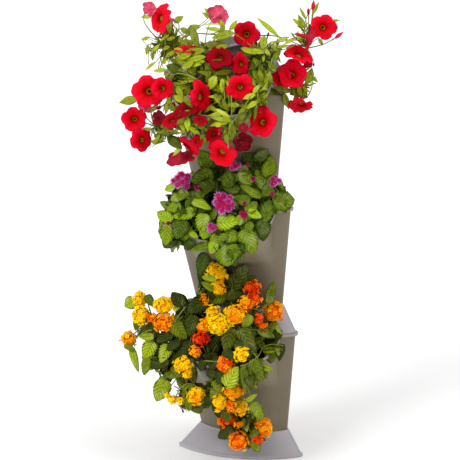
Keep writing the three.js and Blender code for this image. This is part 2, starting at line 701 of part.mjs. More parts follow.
// One plant: a stem from the soil to its crown, shoots to its clumps of leaves and from them to its blooms.
// The clumps are cut back to keep clear of the neighbours.
function plantSolid(name, crownShares, usualRadius, bloomGeometry, neighbours) {
  const side = name.includes("left") ? -1 : 1;
  const crown = placeOf([side * crownShares[0], crownShares[1], crownShares[2]]);
  const foot = crown.clone().setZ(REST_GAP - SOIL_DROP);
  let solid = taperedTube(new THREE.LineCurve3(foot, crown), 1, 6, STEM_RADIUS, STEM_RADIUS);
  solid = solid.add(toSolid(new THREE.IcosahedronGeometry(CROWN_RADIUS, 0).translate(...crown.toArray())));
  let leaves = clumpSolid(CLUMP_SHARES[name][0]);
  CLUMP_SHARES[name].slice(1).forEach((shares) => {
    leaves = leaves.add(clumpSolid(shares));
  });
  neighbours.forEach((neighbour) => {
    leaves = leaves.subtract(neighbour);
  });
  solid = solid.add(leaves);
  const nearest = (places, end) => places.reduce((a, b) => (a.distanceTo(end) < b.distanceTo(end) ? a : b));
  const middles = [];
  CLUMP_SHARES[name].map(placeOf).forEach((middle) => {
    const from = nearest([crown, ...middles], middle);
    const curve = from === crown ? shootCurve(crown, middle) : archCurve(from, middle);
    solid = solid.add(taperedTube(curve, SHOOT_STEPS, 3, SHOOT_RADIUS, SHOOT_RADIUS));
    middles.push(middle);
  });
  SHOOT_SHARES[name].forEach((shares) => {
    const end = placeOf(shares);
    const curve = archCurve(nearest(middles, end), end);
    solid = solid.add(taperedTube(curve, SHOOT_STEPS, 3, SHOOT_RADIUS, SHOOT_END_RADIUS));
    const facing = curve.getTangent(1).add(BLOOM_FACING).normalize();
    const radius = shares[3] * usualRadius;
    const place = end.addScaledVector(facing, BLOOM_LEAN_SHARE * radius);
    solid = solid.add(toSolid(aim(bloomGeometry(radius), place, facing)));
  });
  return solid;
}

const LOOKS = {
  foot: { color: COLOURS.foot, roughness: 0.5, metalness: 0 },
  pot: { color: COLOURS.pot, roughness: 0.5, metalness: 0 },
  cover: { color: COLOURS.cover, roughness: 0.5, metalness: 0 },
  grid: { color: COLOURS.grid, roughness: 0.6, metalness: 0 },
  soil: { color: COLOURS.soil, roughness: 1, metalness: 0 },
  petunia: { color: COLOURS.petunia, roughness: 0.6, metalness: 0 },
  ageratum: { color: COLOURS.ageratum, roughness: 0.6, metalness: 0 },
  lantana: { color: COLOURS.lantana, roughness: 0.6, metalness: 0 },
};

const tower = new THREE.Group();
tower.add(piece("foot", footSolid(), LOOKS.foot));
const pot = potSolid();
const cover = coverSolid();
const grid = gridSolid();
const soil = soilSolid();
const envelopes = [potEnvelope(GROWING_ROOM), coverEnvelope(GROWING_ROOM)];
envelopes.push(envelopes[0].translate(0, 0, TIER_PITCH));

// The plants of each tier, in the order in which each keeps clear of those before it.
const PLANTS = {
  upper: ["neck_left_petunia", "neck_right_petunia", "upper_left_petunia", "upper_right_petunia"],
  middle: ["middle_left_ageratum", "middle_right_ageratum"],
  lower: ["lower_left_lantana", "lower_right_lantana"],
};
const KINDS = {
  petunia: [PETUNIA_RADIUS, trumpetGeometry],
  ageratum: [AGERATUM_RADIUS, domeGeometry],
  lantana: [LANTANA_RADIUS, domeGeometry],
};

TIERS.forEach((tier, index) => {
  const group = new THREE.Group();
  group.position.z = (index + 1) * TIER_PITCH;
  group.add(
    piece(`${tier}_pot`, pot, LOOKS.pot),
    piece(`${tier}_cover`, cover, LOOKS.cover),
    piece(`${tier}_drain_grid`, grid, LOOKS.grid),
    piece(`${tier}_soil`, soil, LOOKS.soil),
  );
  // The uppermost tier has no pot above it that its plants keep clear of
  const neighbours = index < TIERS.length - 1 ? [...envelopes] : envelopes.slice(0, -1);
  for (const name of PLANTS[tier]) {
    const kind = name.split("_")[2];
    const [usualRadius, bloomGeometry] = KINDS[kind];
    const crownShares = name.startsWith("neck") ? NECK_CROWN_SHARES : BAY_CROWN_SHARES;
    const solid = plantSolid(name, crownShares, usualRadius, bloomGeometry, neighbours);
    neighbours.push(...CLUMP_SHARES[name].map((shares) => clumpSolid(shares, GROWING_ROOM)));
    group.add(piece(name, solid, LOOKS[kind]));
  }
  tower.add(group);
});

export default tower;
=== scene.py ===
"""Looks of a corner planter tower: three moulded pots with planting bays on a foot, full of flowers.

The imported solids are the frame. Each operator makes one kind of piece round them, and the last one sets the
floor, the light and the camera. Lengths are in metres and +Z is up; the tower's front looks along -Y and its
back corner stands at +Y.
"""

import math

import bpy
import numpy as np
from mathutils import Matrix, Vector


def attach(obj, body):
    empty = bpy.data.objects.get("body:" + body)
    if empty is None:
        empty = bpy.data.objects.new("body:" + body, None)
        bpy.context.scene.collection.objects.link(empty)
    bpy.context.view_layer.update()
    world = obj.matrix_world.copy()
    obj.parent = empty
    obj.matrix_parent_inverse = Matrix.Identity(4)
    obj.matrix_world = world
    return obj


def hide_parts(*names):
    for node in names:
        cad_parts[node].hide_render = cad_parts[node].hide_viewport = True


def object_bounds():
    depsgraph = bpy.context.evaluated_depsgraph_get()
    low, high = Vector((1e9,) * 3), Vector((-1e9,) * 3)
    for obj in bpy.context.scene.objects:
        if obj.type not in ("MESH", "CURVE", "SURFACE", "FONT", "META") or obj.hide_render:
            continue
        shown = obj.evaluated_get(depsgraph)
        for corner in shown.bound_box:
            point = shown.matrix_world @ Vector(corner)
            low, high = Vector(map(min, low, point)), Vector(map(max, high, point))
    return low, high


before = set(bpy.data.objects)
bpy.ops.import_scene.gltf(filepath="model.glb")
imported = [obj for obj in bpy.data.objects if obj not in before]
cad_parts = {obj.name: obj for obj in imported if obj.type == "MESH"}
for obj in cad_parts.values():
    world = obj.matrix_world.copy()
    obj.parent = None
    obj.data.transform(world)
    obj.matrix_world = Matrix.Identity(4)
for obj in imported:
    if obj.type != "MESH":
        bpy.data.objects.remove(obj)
SOLIDS_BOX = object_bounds()

bl_info = {
    "name": "Corner Planter Tower",
    "version": (1, 0, 0),
    "blender": (4, 5, 0),
    "location": "View3D > Sidebar > Planter",
    "description": "Dresses the packed solids of a planter tower with moulded plastic, soil and flowers",
    "category": "Add Mesh",
}

TIERS = ("lower", "middle", "upper")
TIER_PITCH = 0.240  # from one rim to the next
RIM_HEIGHT = {tier: (i + 1) * TIER_PITCH for i, tier in enumerate(TIERS)}
SKIRT_RISE = 0.038  # height of a cover, from rim to neck
SOCKET_DEPTH = 0.014

# Plan outlines as (span, middle, shift): from the back corner along a side wall to the wing tip, from the
# back corner to the centre of the front, and how far the back corner stands forward of the rim's
RIM = np.array([0.169, 0.156, 0.0])
NECK = np.array([0.117, 0.113, 0.010])
INSET = np.array([-2, -(1 + math.sqrt(2)), math.sqrt(2)])
BACK_CORNER_Y = RIM[1] / 2
BACK_RUN = 0.007
TIP_TURN = math.radians(3.2)
WING_TURN = math.radians(45)
BEND_STEPS = 7

WALL = 0.0026
SKIRT_WALL = 0.0042
LEDGE = 0.007
BEAD_HEIGHT = 0.007
BEAD_PROUD = 0.0035
BEAD_EDGE = 0.001
SOFT_EDGE = 0.0003
SEAT_WIDTH = 0.0011
SEAT_DEPTH = 0.005
LAND = 0.0016
FIT_GAP = 0.0005
REST_GAP = 0.0003
FLANGE_HEIGHT = 0.004
RIB = 0.003
PAD_RADIUS = 0.013  # the flat pad where the foot's ribs cross
CREASE = 35  # edges sharper than this, in degrees, stay sharp
FINE_CREASE = 32  # the same on the foot and on covers whose mouth is cut
COVER_ROUNDING = 0.0006
FOOT_ROUNDING = 0.0005

BAY_TURN = math.radians(33)
BAY_REACH = 0.072
BAY_HEIGHT = 0.115
BAY_STATIONS = 41
LIP_DIP = 0.034
BAY_FULLNESS = 2.6
BOWL_FULLNESS = 1.6
POT_HEIGHT = TIER_PITCH - SKIRT_RISE
POT_FLOOR = -POT_HEIGHT - SOCKET_DEPTH + REST_GAP
POT_RIM = RIM + BEAD_PROUD * INSET
LIP_REACH = RIM[1] + BAY_REACH
SKIRT_TOP = NECK - (FIT_GAP + LAND) * INSET
# The bead's section: down from the lip, out from the wall, and how pale it is there, for wear and as a
# painted highlight
BEAD_SECTION = np.array([
    (BEAD_HEIGHT, 0, 0),
    (BEAD_HEIGHT - 0.0004, BEAD_PROUD - 0.0008, 0.4),
    (BEAD_HEIGHT - 0.0012, BEAD_PROUD, 0.8),
    (BEAD_EDGE, BEAD_PROUD, 1),
    (SOFT_EDGE, BEAD_PROUD - SOFT_EDGE, 1),
    (0, BEAD_PROUD - BEAD_EDGE, 0.7),
    (0, SEAT_WIDTH, 0.3),
    (SEAT_DEPTH, SEAT_WIDTH, 0),
    (SEAT_DEPTH, -WALL, 0),
])

# A cover's mouth in shares of the rim's span and the cover's rise
MOUTH_SHARES = ((0.505, -0.2), (0.505, 0), (0.42, 0.16), (0.335, 0.55), (0.27, 0.8))
MOUTH_CROWN_SHARE = 0.88
SOIL_DROP = 0.048
SOIL_MIDDLE = BACK_CORNER_Y - 0.12
SOIL_HOLLOW = 0.004
SOIL_HEAVE = 0.0015
SOIL_CRUMB = 0.0009
SOIL_CREASE = 50
GRID_RISE = 0.009
DRAIN_RADIUS = 0.0045
DRAIN_STEP = 0.038
DRILL_ROOM = 0.004
FLOOR_MIDDLE = BACK_CORNER_Y - NECK[2] - NECK[1] * 0.56
DRAIN_SHARES = ((0, 0), (1, 0), (-1, 0), (0, -1), (0, 1))
COVER_GLOSS = 0.12  # how much smoother the foot and the covers are than the pots
LEAF_VEINS = 6
FLOOR_DROP = 0.0004

# The photograph's camera: a long lens, turned round the tower's foot
VIEW_TURN = math.radians(18.216)
VIEW_RISE = math.radians(22.558)
VIEW_ROLL = math.radians(2.25)
VIEW_DISTANCE = 21.731
VIEW_FOCAL = 12185  # in pixels of the photograph
VIEW_LENS = 953.6
VIEW_AIM = np.array([0, 0.078, 0.380])
AIM_PIXEL = np.array([252.941, 228.917])
VIEW_OFFSET = (-0.04096, -0.00032)  # of the picture's centre from the aim, to the right and up
PIXEL = VIEW_DISTANCE / VIEW_FOCAL  # one pixel at the tower, in metres

VIEW_BACK = np.array([
    math.sin(VIEW_TURN) * math.cos(VIEW_RISE),
    -math.cos(VIEW_TURN) * math.cos(VIEW_RISE),
    math.sin(VIEW_RISE),
])
LEVEL_RIGHT = np.array([math.cos(VIEW_TURN), math.sin(VIEW_TURN), 0])
LEVEL_UP = np.cross(VIEW_BACK, LEVEL_RIGHT)
VIEW_RIGHT = LEVEL_RIGHT * math.cos(VIEW_ROLL) - LEVEL_UP * math.sin(VIEW_ROLL)
VIEW_UP = LEVEL_RIGHT * math.sin(VIEW_ROLL) + LEVEL_UP * math.cos(VIEW_ROLL)
VIEW_EYE = VIEW_AIM + VIEW_BACK * VIEW_DISTANCE
DAYLIGHT = np.array([-0.35, -0.55, 0.8])  # leaves turn their faces to it
GOLDEN_TURN = math.pi * (1 + math.sqrt(5))


def linear(*seen):
    """A colour as it is seen, from 0 to 255, in the linear values that a shader takes."""
    seen = np.array(seen) / 255
    return tuple(np.where(seen < 0.04045, seen / 12.92, ((seen + 0.055) / 1.055) ** 2.4))


def unit(vectors):
    return vectors / np.maximum(np.linalg.norm(vectors, axis=-1, keepdims=True), 1e-12)


def frames(along, face):
    """Right-handed frames (N, 3, 3): y runs along, z is the face's part square to y, x crosses them."""
    y = unit(along)
    z = unit(face - y * (face * y).sum(-1, keepdims=True))
    return np.stack([np.cross(y, z), y, z], -1)


def least_axes(ways):
    """For each direction, the axis that it leans on least."""
    return np.eye(3)[np.argmin(np.abs(ways), -1)]


def square_to(ways):
    """Two directions that are square to the given ones and to each other."""
    side = unit(np.cross(ways, least_axes(ways)))
    return side, np.cross(ways, side)


def pixel_rays(pixel_x, pixel_y):
    """The directions of the photograph's rays through pixels."""
    across = (np.asarray(pixel_x, float) - AIM_PIXEL[0]) / VIEW_FOCAL
    up = -(np.asarray(pixel_y, float) - AIM_PIXEL[1]) / VIEW_FOCAL
    return unit(across[..., None] * VIEW_RIGHT + up[..., None] * VIEW_UP - VIEW_BACK)


def toward(turn, tilt):
    """Directions by their turn to the right and their tilt upwards, in degrees, as the camera sees them."""
    turn, tilt = np.radians(turn)[..., None], np.radians(tilt)[..., None]
    level = np.sin(turn) * VIEW_RIGHT + np.cos(turn) * VIEW_BACK
    return np.cos(tilt) * level + np.sin(tilt) * VIEW_UP


def along_bend(start, corner, end, shares):
    """Points of quadratic curves from start to end that head for the corner."""
    t = shares[:, None]
    return (1 - t) ** 2 * start + 2 * t * (1 - t) * corner + t**2 * end


def ring_faces(rows, count, closed=False):
    """Quads between neighbouring rings. A closed row of rings joins its first one."""
    row = np.arange(rows if closed else rows - 1)[:, None]
    col = np.arange(count)[None, :]
    right, up = (col + 1) % count, (row + 1) % rows
    corners = [row * count + col, row * count + right, up * count + right, up * count + col]
    return np.stack(corners, -1).reshape(-1, 4)


def pole_faces(rows, count):
    """Triangles from a point before the first ring and one after the last, which come after the rings."""
    col = np.arange(count)
    right = (col + 1) % count
    first, top = rows * count, (rows - 1) * count
    return np.concatenate([
        np.stack([np.full(count, first), right, col], -1),
        np.stack([np.full(count, first + 1), top + col, top + right], -1),
    ])


def ring_places(around, upward, ends=((0, 0), (0, 1))):
    """Map places of rings, each value of around on each height upward, and of the two ends."""
    places = np.stack([np.tile(around, len(upward)), np.repeat(upward, len(around))], -1)
    return np.concatenate([places, ends])


def even_places(rows, count):
    return ring_places(np.linspace(0, 1, count), np.linspace(0, 1, rows))


class Surface:
    """Points, faces, map places and tones of one piece, gathered block by block."""

    def __init__(self):
        self.points, self.quads, self.triangles, self.places, self.tones = [], [], [], [], []
        self.count = 0

    def add(self, points, quads=(), triangles=(), places=0, tones=0):
        """Adds copies of a form: points (N, V, 3), faces (F, C), places (V, 2), tones (N,) or (N, V)."""
        copies, size = points.shape[:2]
        offset = self.count + size * np.arange(copies)[:, None, None]
        self.points.append(points.reshape(-1, 3))
        for kept, faces, corners in ((self.quads, quads, 4), (self.triangles, triangles, 3)):
            kept.append((np.reshape(faces, (1, -1, corners)).astype(int) + offset).reshape(-1, corners))
        self.places.append(np.broadcast_to(places, (copies, size, 2)).reshape(-1, 2))
        tones = np.asarray(tones, float)
        tones = tones if tones.ndim == 2 else tones.reshape(-1, 1)
        self.tones.append(np.broadcast_to(tones, (copies, size)).reshape(-1))
        self.count += copies * size

    def add_rings(self, rings, places=0, tones=0, ends=None):
        """Adds copies of a form of rings (N, R, C, 3) that is closed by two end points (N, 2, 3). Where none
        are given, they are the middles of its first and last ring."""
        ends = rings[:, [0, -1]].mean(2) if ends is None else ends
        copies, rows, count = rings.shape[:3]
        points = np.concatenate([rings.reshape(copies, -1, 3), ends], 1)
        self.add(points, ring_faces(rows, count), pole_faces(rows, count), places, tones)

    def build(self, name, material, crease=None):
        """A mesh object of all blocks, shaded smooth but along edges sharper than the crease, in degrees."""
        gathered = (self.points, self.quads, self.triangles)
        points, quads, triangles = (np.concatenate(kept) for kept in gathered)
        corners = np.concatenate([quads.ravel(), triangles.ravel()])
        starts = np.concatenate([4 * np.arange(len(quads)), 4 * len(quads) + 3 * np.arange(len(triangles))])
        mesh = bpy.data.meshes.new(name)
        mesh.vertices.add(len(points))
        mesh.vertices.foreach_set("co", points.astype(np.float32).ravel())
        mesh.loops.add(len(corners))
        mesh.loops.foreach_set("vertex_index", corners.astype(np.int32))
        mesh.polygons.add(len(starts))
        mesh.polygons.foreach_set("loop_start", starts.astype(np.int32))
        mesh.polygons.foreach_set("use_smooth", np.ones(len(starts), bool))
        mesh.update(calc_edges=True)
        layer = mesh.uv_layers.new(name="UVMap")
        layer.data.foreach_set("uv", np.concatenate(self.places)[corners].astype(np.float32).ravel())
        tone = mesh.attributes.new("tone", "FLOAT", "POINT")
        tone.data.foreach_set("value", np.concatenate(self.tones).astype(np.float32))
        if crease is not None:
            mesh.set_sharp_from_angle(angle=math.radians(crease))
        mesh.materials.append(material)
        return add_object(name, mesh)


def add_object(name, data):
    thing = bpy.data.objects.new(name, data)
    bpy.context.scene.collection.objects.link(thing)
    return thing


def place_piece(piece, body, slot, *nodes):
    """The piece moves with its body and stands for its nodes. Its slot is not used."""
    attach(piece, body)
    if nodes:
        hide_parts(*nodes)


class Signal:
    """A socket of a shader, on which arithmetic adds Math nodes."""

    def __init__(self, network, socket):
        self.network, self.socket = network, socket

    def math(self, operation, *values):
        return self.network.node("ShaderNodeMath", {"operation": operation}, dict(enumerate(values)))

    def part(self, output):
        """Another output of the same node."""
        return Signal(self.network, self.socket.node.outputs[output])

    def __add__(self, other):
        return self.math("ADD", self, other)

    __radd__ = __add__

    def __sub__(self, other):
        return self.math("SUBTRACT", self, other)

    def __rsub__(self, other):
        return self.math("SUBTRACT", other, self)

    def __mul__(self, other):
        return self.math("MULTIPLY", self, other)

    __rmul__ = __mul__


class Network:
    """The nodes of a material or of the world."""

    def __init__(self, owner):
        owner.use_nodes = True
        self.owner, self.tree = owner, owner.node_tree
        self.tree.nodes.clear()

    def node(self, kind, settings, sockets, output=0):
        """Adds a node: its settings first, then the values or links of its sockets, by name or number."""
        node = self.tree.nodes.new(kind)
        for name, value in settings.items():
            if name == "stops":
                self.set_stops(node.color_ramp, value)
            else:
                setattr(node, name, value)
        for name, value in sockets.items():
            self.join(node.inputs[name], value)
        return Signal(self, node.outputs[output]) if node.outputs else None

    @staticmethod
    def set_stops(ramp, stops):
        while len(ramp.elements) > 1:
            ramp.elements.remove(ramp.elements[-1])
        ramp.elements[0].position, ramp.elements[0].color = stops[0][0], (*stops[0][1], 1)
        for place, colour in stops[1:]:
            ramp.elements.new(place).color = (*colour, 1)

    def join(self, socket, value):
        if isinstance(value, Signal):
            self.tree.links.new(value.socket, socket)
        elif socket.type == "RGBA":
            socket.default_value = (*value, 1)
        else:
            socket.default_value = value


class Finish(Network):
    """A material that ends in one glossy-and-matt shader."""

    def __init__(self, name):
        super().__init__(bpy.data.materials.new(name))
        surface = self.node("ShaderNodeBsdfPrincipled", {}, {})
        self.node("ShaderNodeOutputMaterial", {}, {"Surface": surface})
        self.inputs = surface.socket.node.inputs

    def place(self):
        """The point on the piece, in metres."""
        return self.node("ShaderNodeTexCoord", {}, {}, "Object")

    def tone(self):
        return self.node("ShaderNodeAttribute", {"attribute_name": "tone"}, {}, "Fac")

    def map_place(self):
        """The two coordinates of the piece's own map."""
        place = self.node("ShaderNodeUVMap", {"uv_map": "UVMap"}, {})
        across = self.node("ShaderNodeSeparateXYZ", {}, {0: place})
        return across, across.part(1)

    def noise(self, scale, detail=2, roughness=0.5, vector=None):
        sockets = {"Vector": vector or self.place(), "Scale": scale, "Detail": detail, "Roughness": roughness}
        return self.node("ShaderNodeTexNoise", {}, sockets)

    def wave(self, value):
        """A zigzag, 0 at every whole number and 1 halfway between."""
        return self.node("ShaderNodeMath", {"operation": "PINGPONG"}, {0: value, 1: 0.5}) * 2

    def step(self, value, low, high):
        """Rises smoothly from 0 at low to 1 at high."""
        sockets = {"Value": value, "From Min": low, "From Max": high}
        return self.node("ShaderNodeMapRange", {"interpolation_type": "SMOOTHSTEP"}, sockets)

    def mix(self, share, first, second):
        """A colour between two, by a share."""
        return self.node("ShaderNodeMix", {"data_type": "RGBA"}, {0: share, 6: first, 7: second}, 2)

    def ramp(self, value, *stops):
        return self.node("ShaderNodeValToRGB", {"stops": stops}, {0: value})

    def finish(self, colour, roughness, height=None, distance=0.0, strength=0.0, shine=0.5):
        """Joins the colour, the roughness and a bump of the height to the shader, and sets how it shines."""
        self.join(self.inputs["Base Color"], colour)
        self.join(self.inputs["Roughness"], roughness)
        self.join(self.inputs["Specular IOR Level"], shine)
        if height is not None:
            sockets = {"Height": height, "Strength": strength, "Distance": distance}
            self.join(self.inputs["Normal"], self.node("ShaderNodeBump", {}, sockets))
        return self.owner


def moulded_plastic(name, colour, dust_wear_and_highlight_colour, gloss=0.0):
    """Satin plastic: fine moulded grain, faint cloudiness, dusty film, and edges that are paler for wear and
    as a painted highlight.
    """
    look = Finish(name)
    place = look.place()
    cloud = look.noise(9, 3, 0.6, place)
    dust = look.step(look.noise(55, 4, 0.7, place), 0.52, 0.75)
    body = look.mix(look.step(cloud, 0.35, 0.7), colour, tuple(0.86 * c for c in colour))
    body = look.mix(dust * 0.06, body, dust_wear_and_highlight_colour)
    # Edges take their tone: paler plastic for wear, and a painted highlight along rims and the flange
    edge = look.tone() * look.step(look.noise(40, 2, 0.5, place), -0.2, 0.7)
    height = look.noise(1500, 2, 0.6, place) * 0.7 + look.noise(90, 2, 0.5, place) * 1.5
    roughness = 0.34 - gloss + cloud * 0.16 + dust * 0.12
    return look.finish(look.mix(edge * 0.45, body, dust_wear_and_highlight_colour), roughness, height, 0.00012, 0.45)


def crumbly_soil():
    """Dark potting soil: brown crumbs with a few pale specks, rough all over."""
    look = Finish("potting_soil")
    place = look.place()
    crumb = look.noise(260, 5, 0.7, place)
    cells = look.node("ShaderNodeTexVoronoi", {}, {"Vector": place, "Scale": 420}, "Distance")
    colour = look.ramp(
        crumb,
        (0.3, linear(24, 17, 12)), (0.5, linear(58, 42, 30)), (0.62, linear(86, 64, 45)),
        (0.72, linear(128, 104, 78)),
    )
    return look.finish(colour, 0.95, crumb + cells * 0.6, 0.002, 0.9, 0.15)


def leaf_finish(name, deep, bright, vein, gloss, quilting):
    """A leaf: its tone, which paints light and shade along with its own colour; paler midrib; side veins that
    slant to the tip, painted darker as shade in their furrows; quilting between them; and a painted sheen.

    The side veins lie where LEAF_VEINS times (length - 0.35 * |across|) is near a whole number.
    """
    look = Finish(name)
    across, length = look.map_place()
    off = look.node("ShaderNodeMath", {"operation": "ABSOLUTE"}, {0: across - 0.5}) * 2
    side_vein = look.step(look.wave((length - off * 0.35) * LEAF_VEINS), 0.36, 0.0)
    midrib = look.step(off, 0.07, 0.0)
    mottle = look.noise(140, 3, 0.6)
    tone = look.tone()
    # The tone paints light and shade on each leaf along with its own colour
    blade = look.mix(look.step(tone + (mottle - 0.5) * 0.5, 0.05, 0.95), deep, bright)
    # Painted sheen: pale noise patches, stronger on bright leaves, stand for glossy highlights
    painted_sheen = look.step(look.noise(45, 2, 0.5), 0.5, 0.7) * (tone * 0.42 + 0.04)
    blade = look.mix(painted_sheen, blade, vein)
    # Side veins are painted darker: shade in their furrows
    blade = look.mix(side_vein * 0.2, blade, deep)
    blade = look.mix(midrib * 0.14, blade, vein)
    height = (1 - side_vein) * quilting - midrib * 0.8 + mottle * 0.3
    return look.finish(blade, 0.42 + mottle * 0.2 - gloss, height, 0.0016, 0.9, 0.14)


def stem_finish(name, green, brown):
    """Soft stems: green with brown streaks along them."""
    look = Finish(name)
    streak = look.noise(180, 3, 0.6)
    return look.finish(look.mix(look.step(streak, 0.4, 0.75), green, brown), 0.6, streak, 0.0004, 0.4)


def petunia_finish(red):
    """Petals by their place from the throat: yellow tube, dark ring, red limb with darker veins, pink backs.

    The map's first coordinate is the lobe's wave, 1 along a lobe and 0 in a dip; the second is the place
    from the throat, 0 to 1 over the face, and 1 to 2 down the back. The deep red by the throat is the petal's
    own colour and painted shade in the funnel, and noise patches paint shade as if in folds. Blooms of low
    brightness are painted deeper red, also behind: painted shade, and the deeper red of wilting ones.
    """
    look = Finish("petunia_petals")
    lobe, reach = look.map_place()
    back = look.step(reach, 1.01, 1.06)
    place = look.place()
    grain = look.noise(420, 3, 0.6, place)
    # Painted shade: noise patches darken the limb as if in folds
    folds = look.step(look.noise(75, 2, 0.5, place), 0.52, 0.75)
    vein = look.step(look.wave(lobe * 4 + grain * 0.5), 0.3, 0.0)
    tone = look.tone()
    deep = linear(104, 0, 4)
    # Deep red towards the throat: the petal's own colour there and painted shade in the funnel
    limb = look.mix(look.step(reach + (grain - 0.5) * 0.3, 0.1, 0.5), deep, red)
    limb = look.mix(look.step(reach, 0.45, 1.0) * 0.7, limb, linear(250, 14, 56))
    limb = look.mix(vein * 0.22 + folds * 0.3, limb, deep)
    throat = look.step(reach + (grain - 0.5) * 0.14, 0.2, 0.12) * 0.85
    face = look.mix(throat, limb, linear(216, 172, 34))
    behind = look.mix(look.step(grain + vein * 0.3, 0.35, 0.8), linear(246, 112, 146), linear(208, 32, 68))
    # Low brightness paints the backs and then the whole bloom deeper red: painted shade, and wilting blooms'
    # colour
    behind = look.mix(look.step(tone, 0.95, 0.55) * 0.8, behind, linear(200, 16, 44))
    colour = look.mix((1 - tone) * 0.85, look.mix(back, face, behind), linear(92, 0, 6))
    return look.finish(colour, 0.6, grain * 0.5 - vein * 0.5, 0.0005, 0.6, 0.04)


def ageratum_finish():
    """Fluffy heads: crimson at the heart, magenta in the middle and lilac at the thread tips."""
    look = Finish("ageratum_threads")
    shade = look.tone() + (look.noise(300, 2) - 0.5) * 0.25
    colour = look.ramp(
        shade,
        (0.0, linear(132, 6, 38)), (0.3, linear(198, 24, 84)), (0.52, linear(212, 52, 158)),
        (0.75, linear(232, 104, 208)), (1.0, linear(253, 196, 246)),
    )
    return look.finish(colour, 0.75, shine=0.05)


def lantana_finish():
    """Florets by age: lemon, amber, orange and red, each with a deeper eye."""
    look = Finish("lantana_florets")
    _, reach = look.map_place()
    shade = look.tone() + (look.noise(260, 2) - 0.5) * 0.12
    petal = look.ramp(
        shade,
        (0.0, linear(255, 222, 12)), (0.3, linear(255, 192, 4)), (0.55, linear(255, 150, 4)),
        (0.75, linear(252, 92, 4)), (1.0, linear(222, 26, 8)),
    )
    eye = look.ramp(shade, (0.0, linear(246, 166, 4)), (0.5, linear(240, 104, 4)), (1.0, linear(176, 12, 6)))
    colour = look.mix(look.step(reach, 0.4, 0.1), petal, eye)
    return look.finish(colour, 0.6, look.noise(700, 2), 0.0003, 0.4, 0.05)


FRONT_TURNS = np.concatenate([
    np.linspace(-(WING_TURN - TIP_TURN), -BAY_TURN, 4)[:-1],
    np.linspace(-BAY_TURN, BAY_TURN, BAY_STATIONS),
    np.linspace(BAY_TURN, WING_TURN - TIP_TURN, 4)[1:],
])


def wing_point(side, length):
    return np.array([side * length * math.sin(WING_TURN), -length * math.cos(WING_TURN)])


def plan_ring(outline, height, swell=0.0):
    """One closed ring, anticlockwise from above: back corner, left wing, front, right wing.

    The front stands span - (span - middle) * cos(2 * turn) + swell from the back corner. Height and swell
    hold a value for each front station; the wings take the height's first value.
    """
    span, middle, shift = outline
    height = np.broadcast_to(height, FRONT_TURNS.shape)
    tip = span * TIP_TURN
    reach = span - (span - middle) * np.cos(2 * FRONT_TURNS) + swell
    front = np.stack([reach * np.sin(FRONT_TURNS), -reach * np.cos(FRONT_TURNS)], -1)
    bend = np.linspace(0, 1, BEND_STEPS)
    back = along_bend(wing_point(1, BACK_RUN), np.zeros(2), wing_point(-1, BACK_RUN), bend)
    left = along_bend(wing_point(-1, span - tip), wing_point(-1, span), front[0], bend[:-1])
    right = along_bend(front[-1], wing_point(1, span), wing_point(1, span - tip), bend[1:])
    places = np.concatenate([back, left, front, right])
    heights = np.pad(height, (len(back) + len(left), len(right)), constant_values=height[0])
    return np.column_stack([places[:, 0], places[:, 1] + BACK_CORNER_Y - shift, heights])


def bay_share(turn, depth=0.0):
    """How far the bay stands out, 1 in its middle and 0 at its sides: 1 - |turn / bay's turn| ** fullness."""
    across = np.minimum(np.abs(turn) / (BAY_TURN - depth / RIM[1]), 1)
    return 1 - across**BAY_FULLNESS


def lip_height(turn):
    return -LIP_DIP * bay_share(turn)


def bay_swell(turn, height, depth):
    """How far the bay stands off the wall, by its section from the crease at share 0 to the upright lip at
    share 1: 1 - (1 - share) ** fullness."""
    share = (height - depth + BAY_HEIGHT) / (lip_height(turn) + BAY_HEIGHT)
    return BAY_REACH * bay_share(turn, depth) * (1 - (1 - np.clip(share, 0, 1)) ** BOWL_FULLNESS)


def pot_outline(height):
    return POT_RIM + (NECK - POT_RIM) * -height / POT_HEIGHT


def pot_ring(height, out, depth=0.0):
    """A ring of the pot's wall at heights from its rim, standing off it by out, the bay lifted by depth."""
    height = np.broadcast_to(height, FRONT_TURNS.shape)
    level = height[0]
    flare = POT_RIM[1] + (NECK[1] - POT_RIM[1]) * -height / POT_HEIGHT - pot_outline(level)[1]
    swell = flare * bay_share(FRONT_TURNS) + bay_swell(FRONT_TURNS, height, depth)
    return plan_ring(pot_outline(level) - out * INSET, height, swell)


def bay_rows(shares, depth):
    """Rings of the wall between the crease under the bay and the bead."""
    low, high = depth - BAY_HEIGHT, lip_height(FRONT_TURNS) - BEAD_HEIGHT
    return [pot_ring(low + (high - low) * share, -depth, depth) for share in shares]


def drawn_in(ring, middle, shares):
    """Copies of a ring, drawn in to a middle by shares."""
    return ring + (np.append(middle, ring[0, 2]) - ring) * shares[:, None, None] * (1, 1, 0)


def shell_surface(rings, tones, rise=0.0):
    """A closed wall through rings that run up its outside and down its inside, back to the first."""
    rings = np.stack(rings) + (0, 0, rise)
    rows, count = rings.shape[:2]
    surface = Surface()
    faces, places = ring_faces(rows, count, True), even_places(rows, count)[:-2]
    surface.add(rings.reshape(1, -1, 3), faces, (), places, np.repeat(tones, count)[None])
    return surface


def cut_away(piece, cutter, crease):
    """Takes the cutter's volume out of the piece, creases the result and removes the cutter."""
    cut = piece.modifiers.new("cut", "BOOLEAN")
    cut.operation, cut.solver, cut.object = "DIFFERENCE", "EXACT", cutter
    evaluated = piece.evaluated_get(bpy.context.evaluated_depsgraph_get())
    mesh = bpy.data.meshes.new_from_object(evaluated)
    piece.modifiers.clear()
    old, piece.data = piece.data, mesh
    bpy.data.meshes.remove(old)
    bpy.data.objects.remove(cutter)
    mesh.name = piece.name
    mesh.set_sharp_from_angle(angle=math.radians(crease))


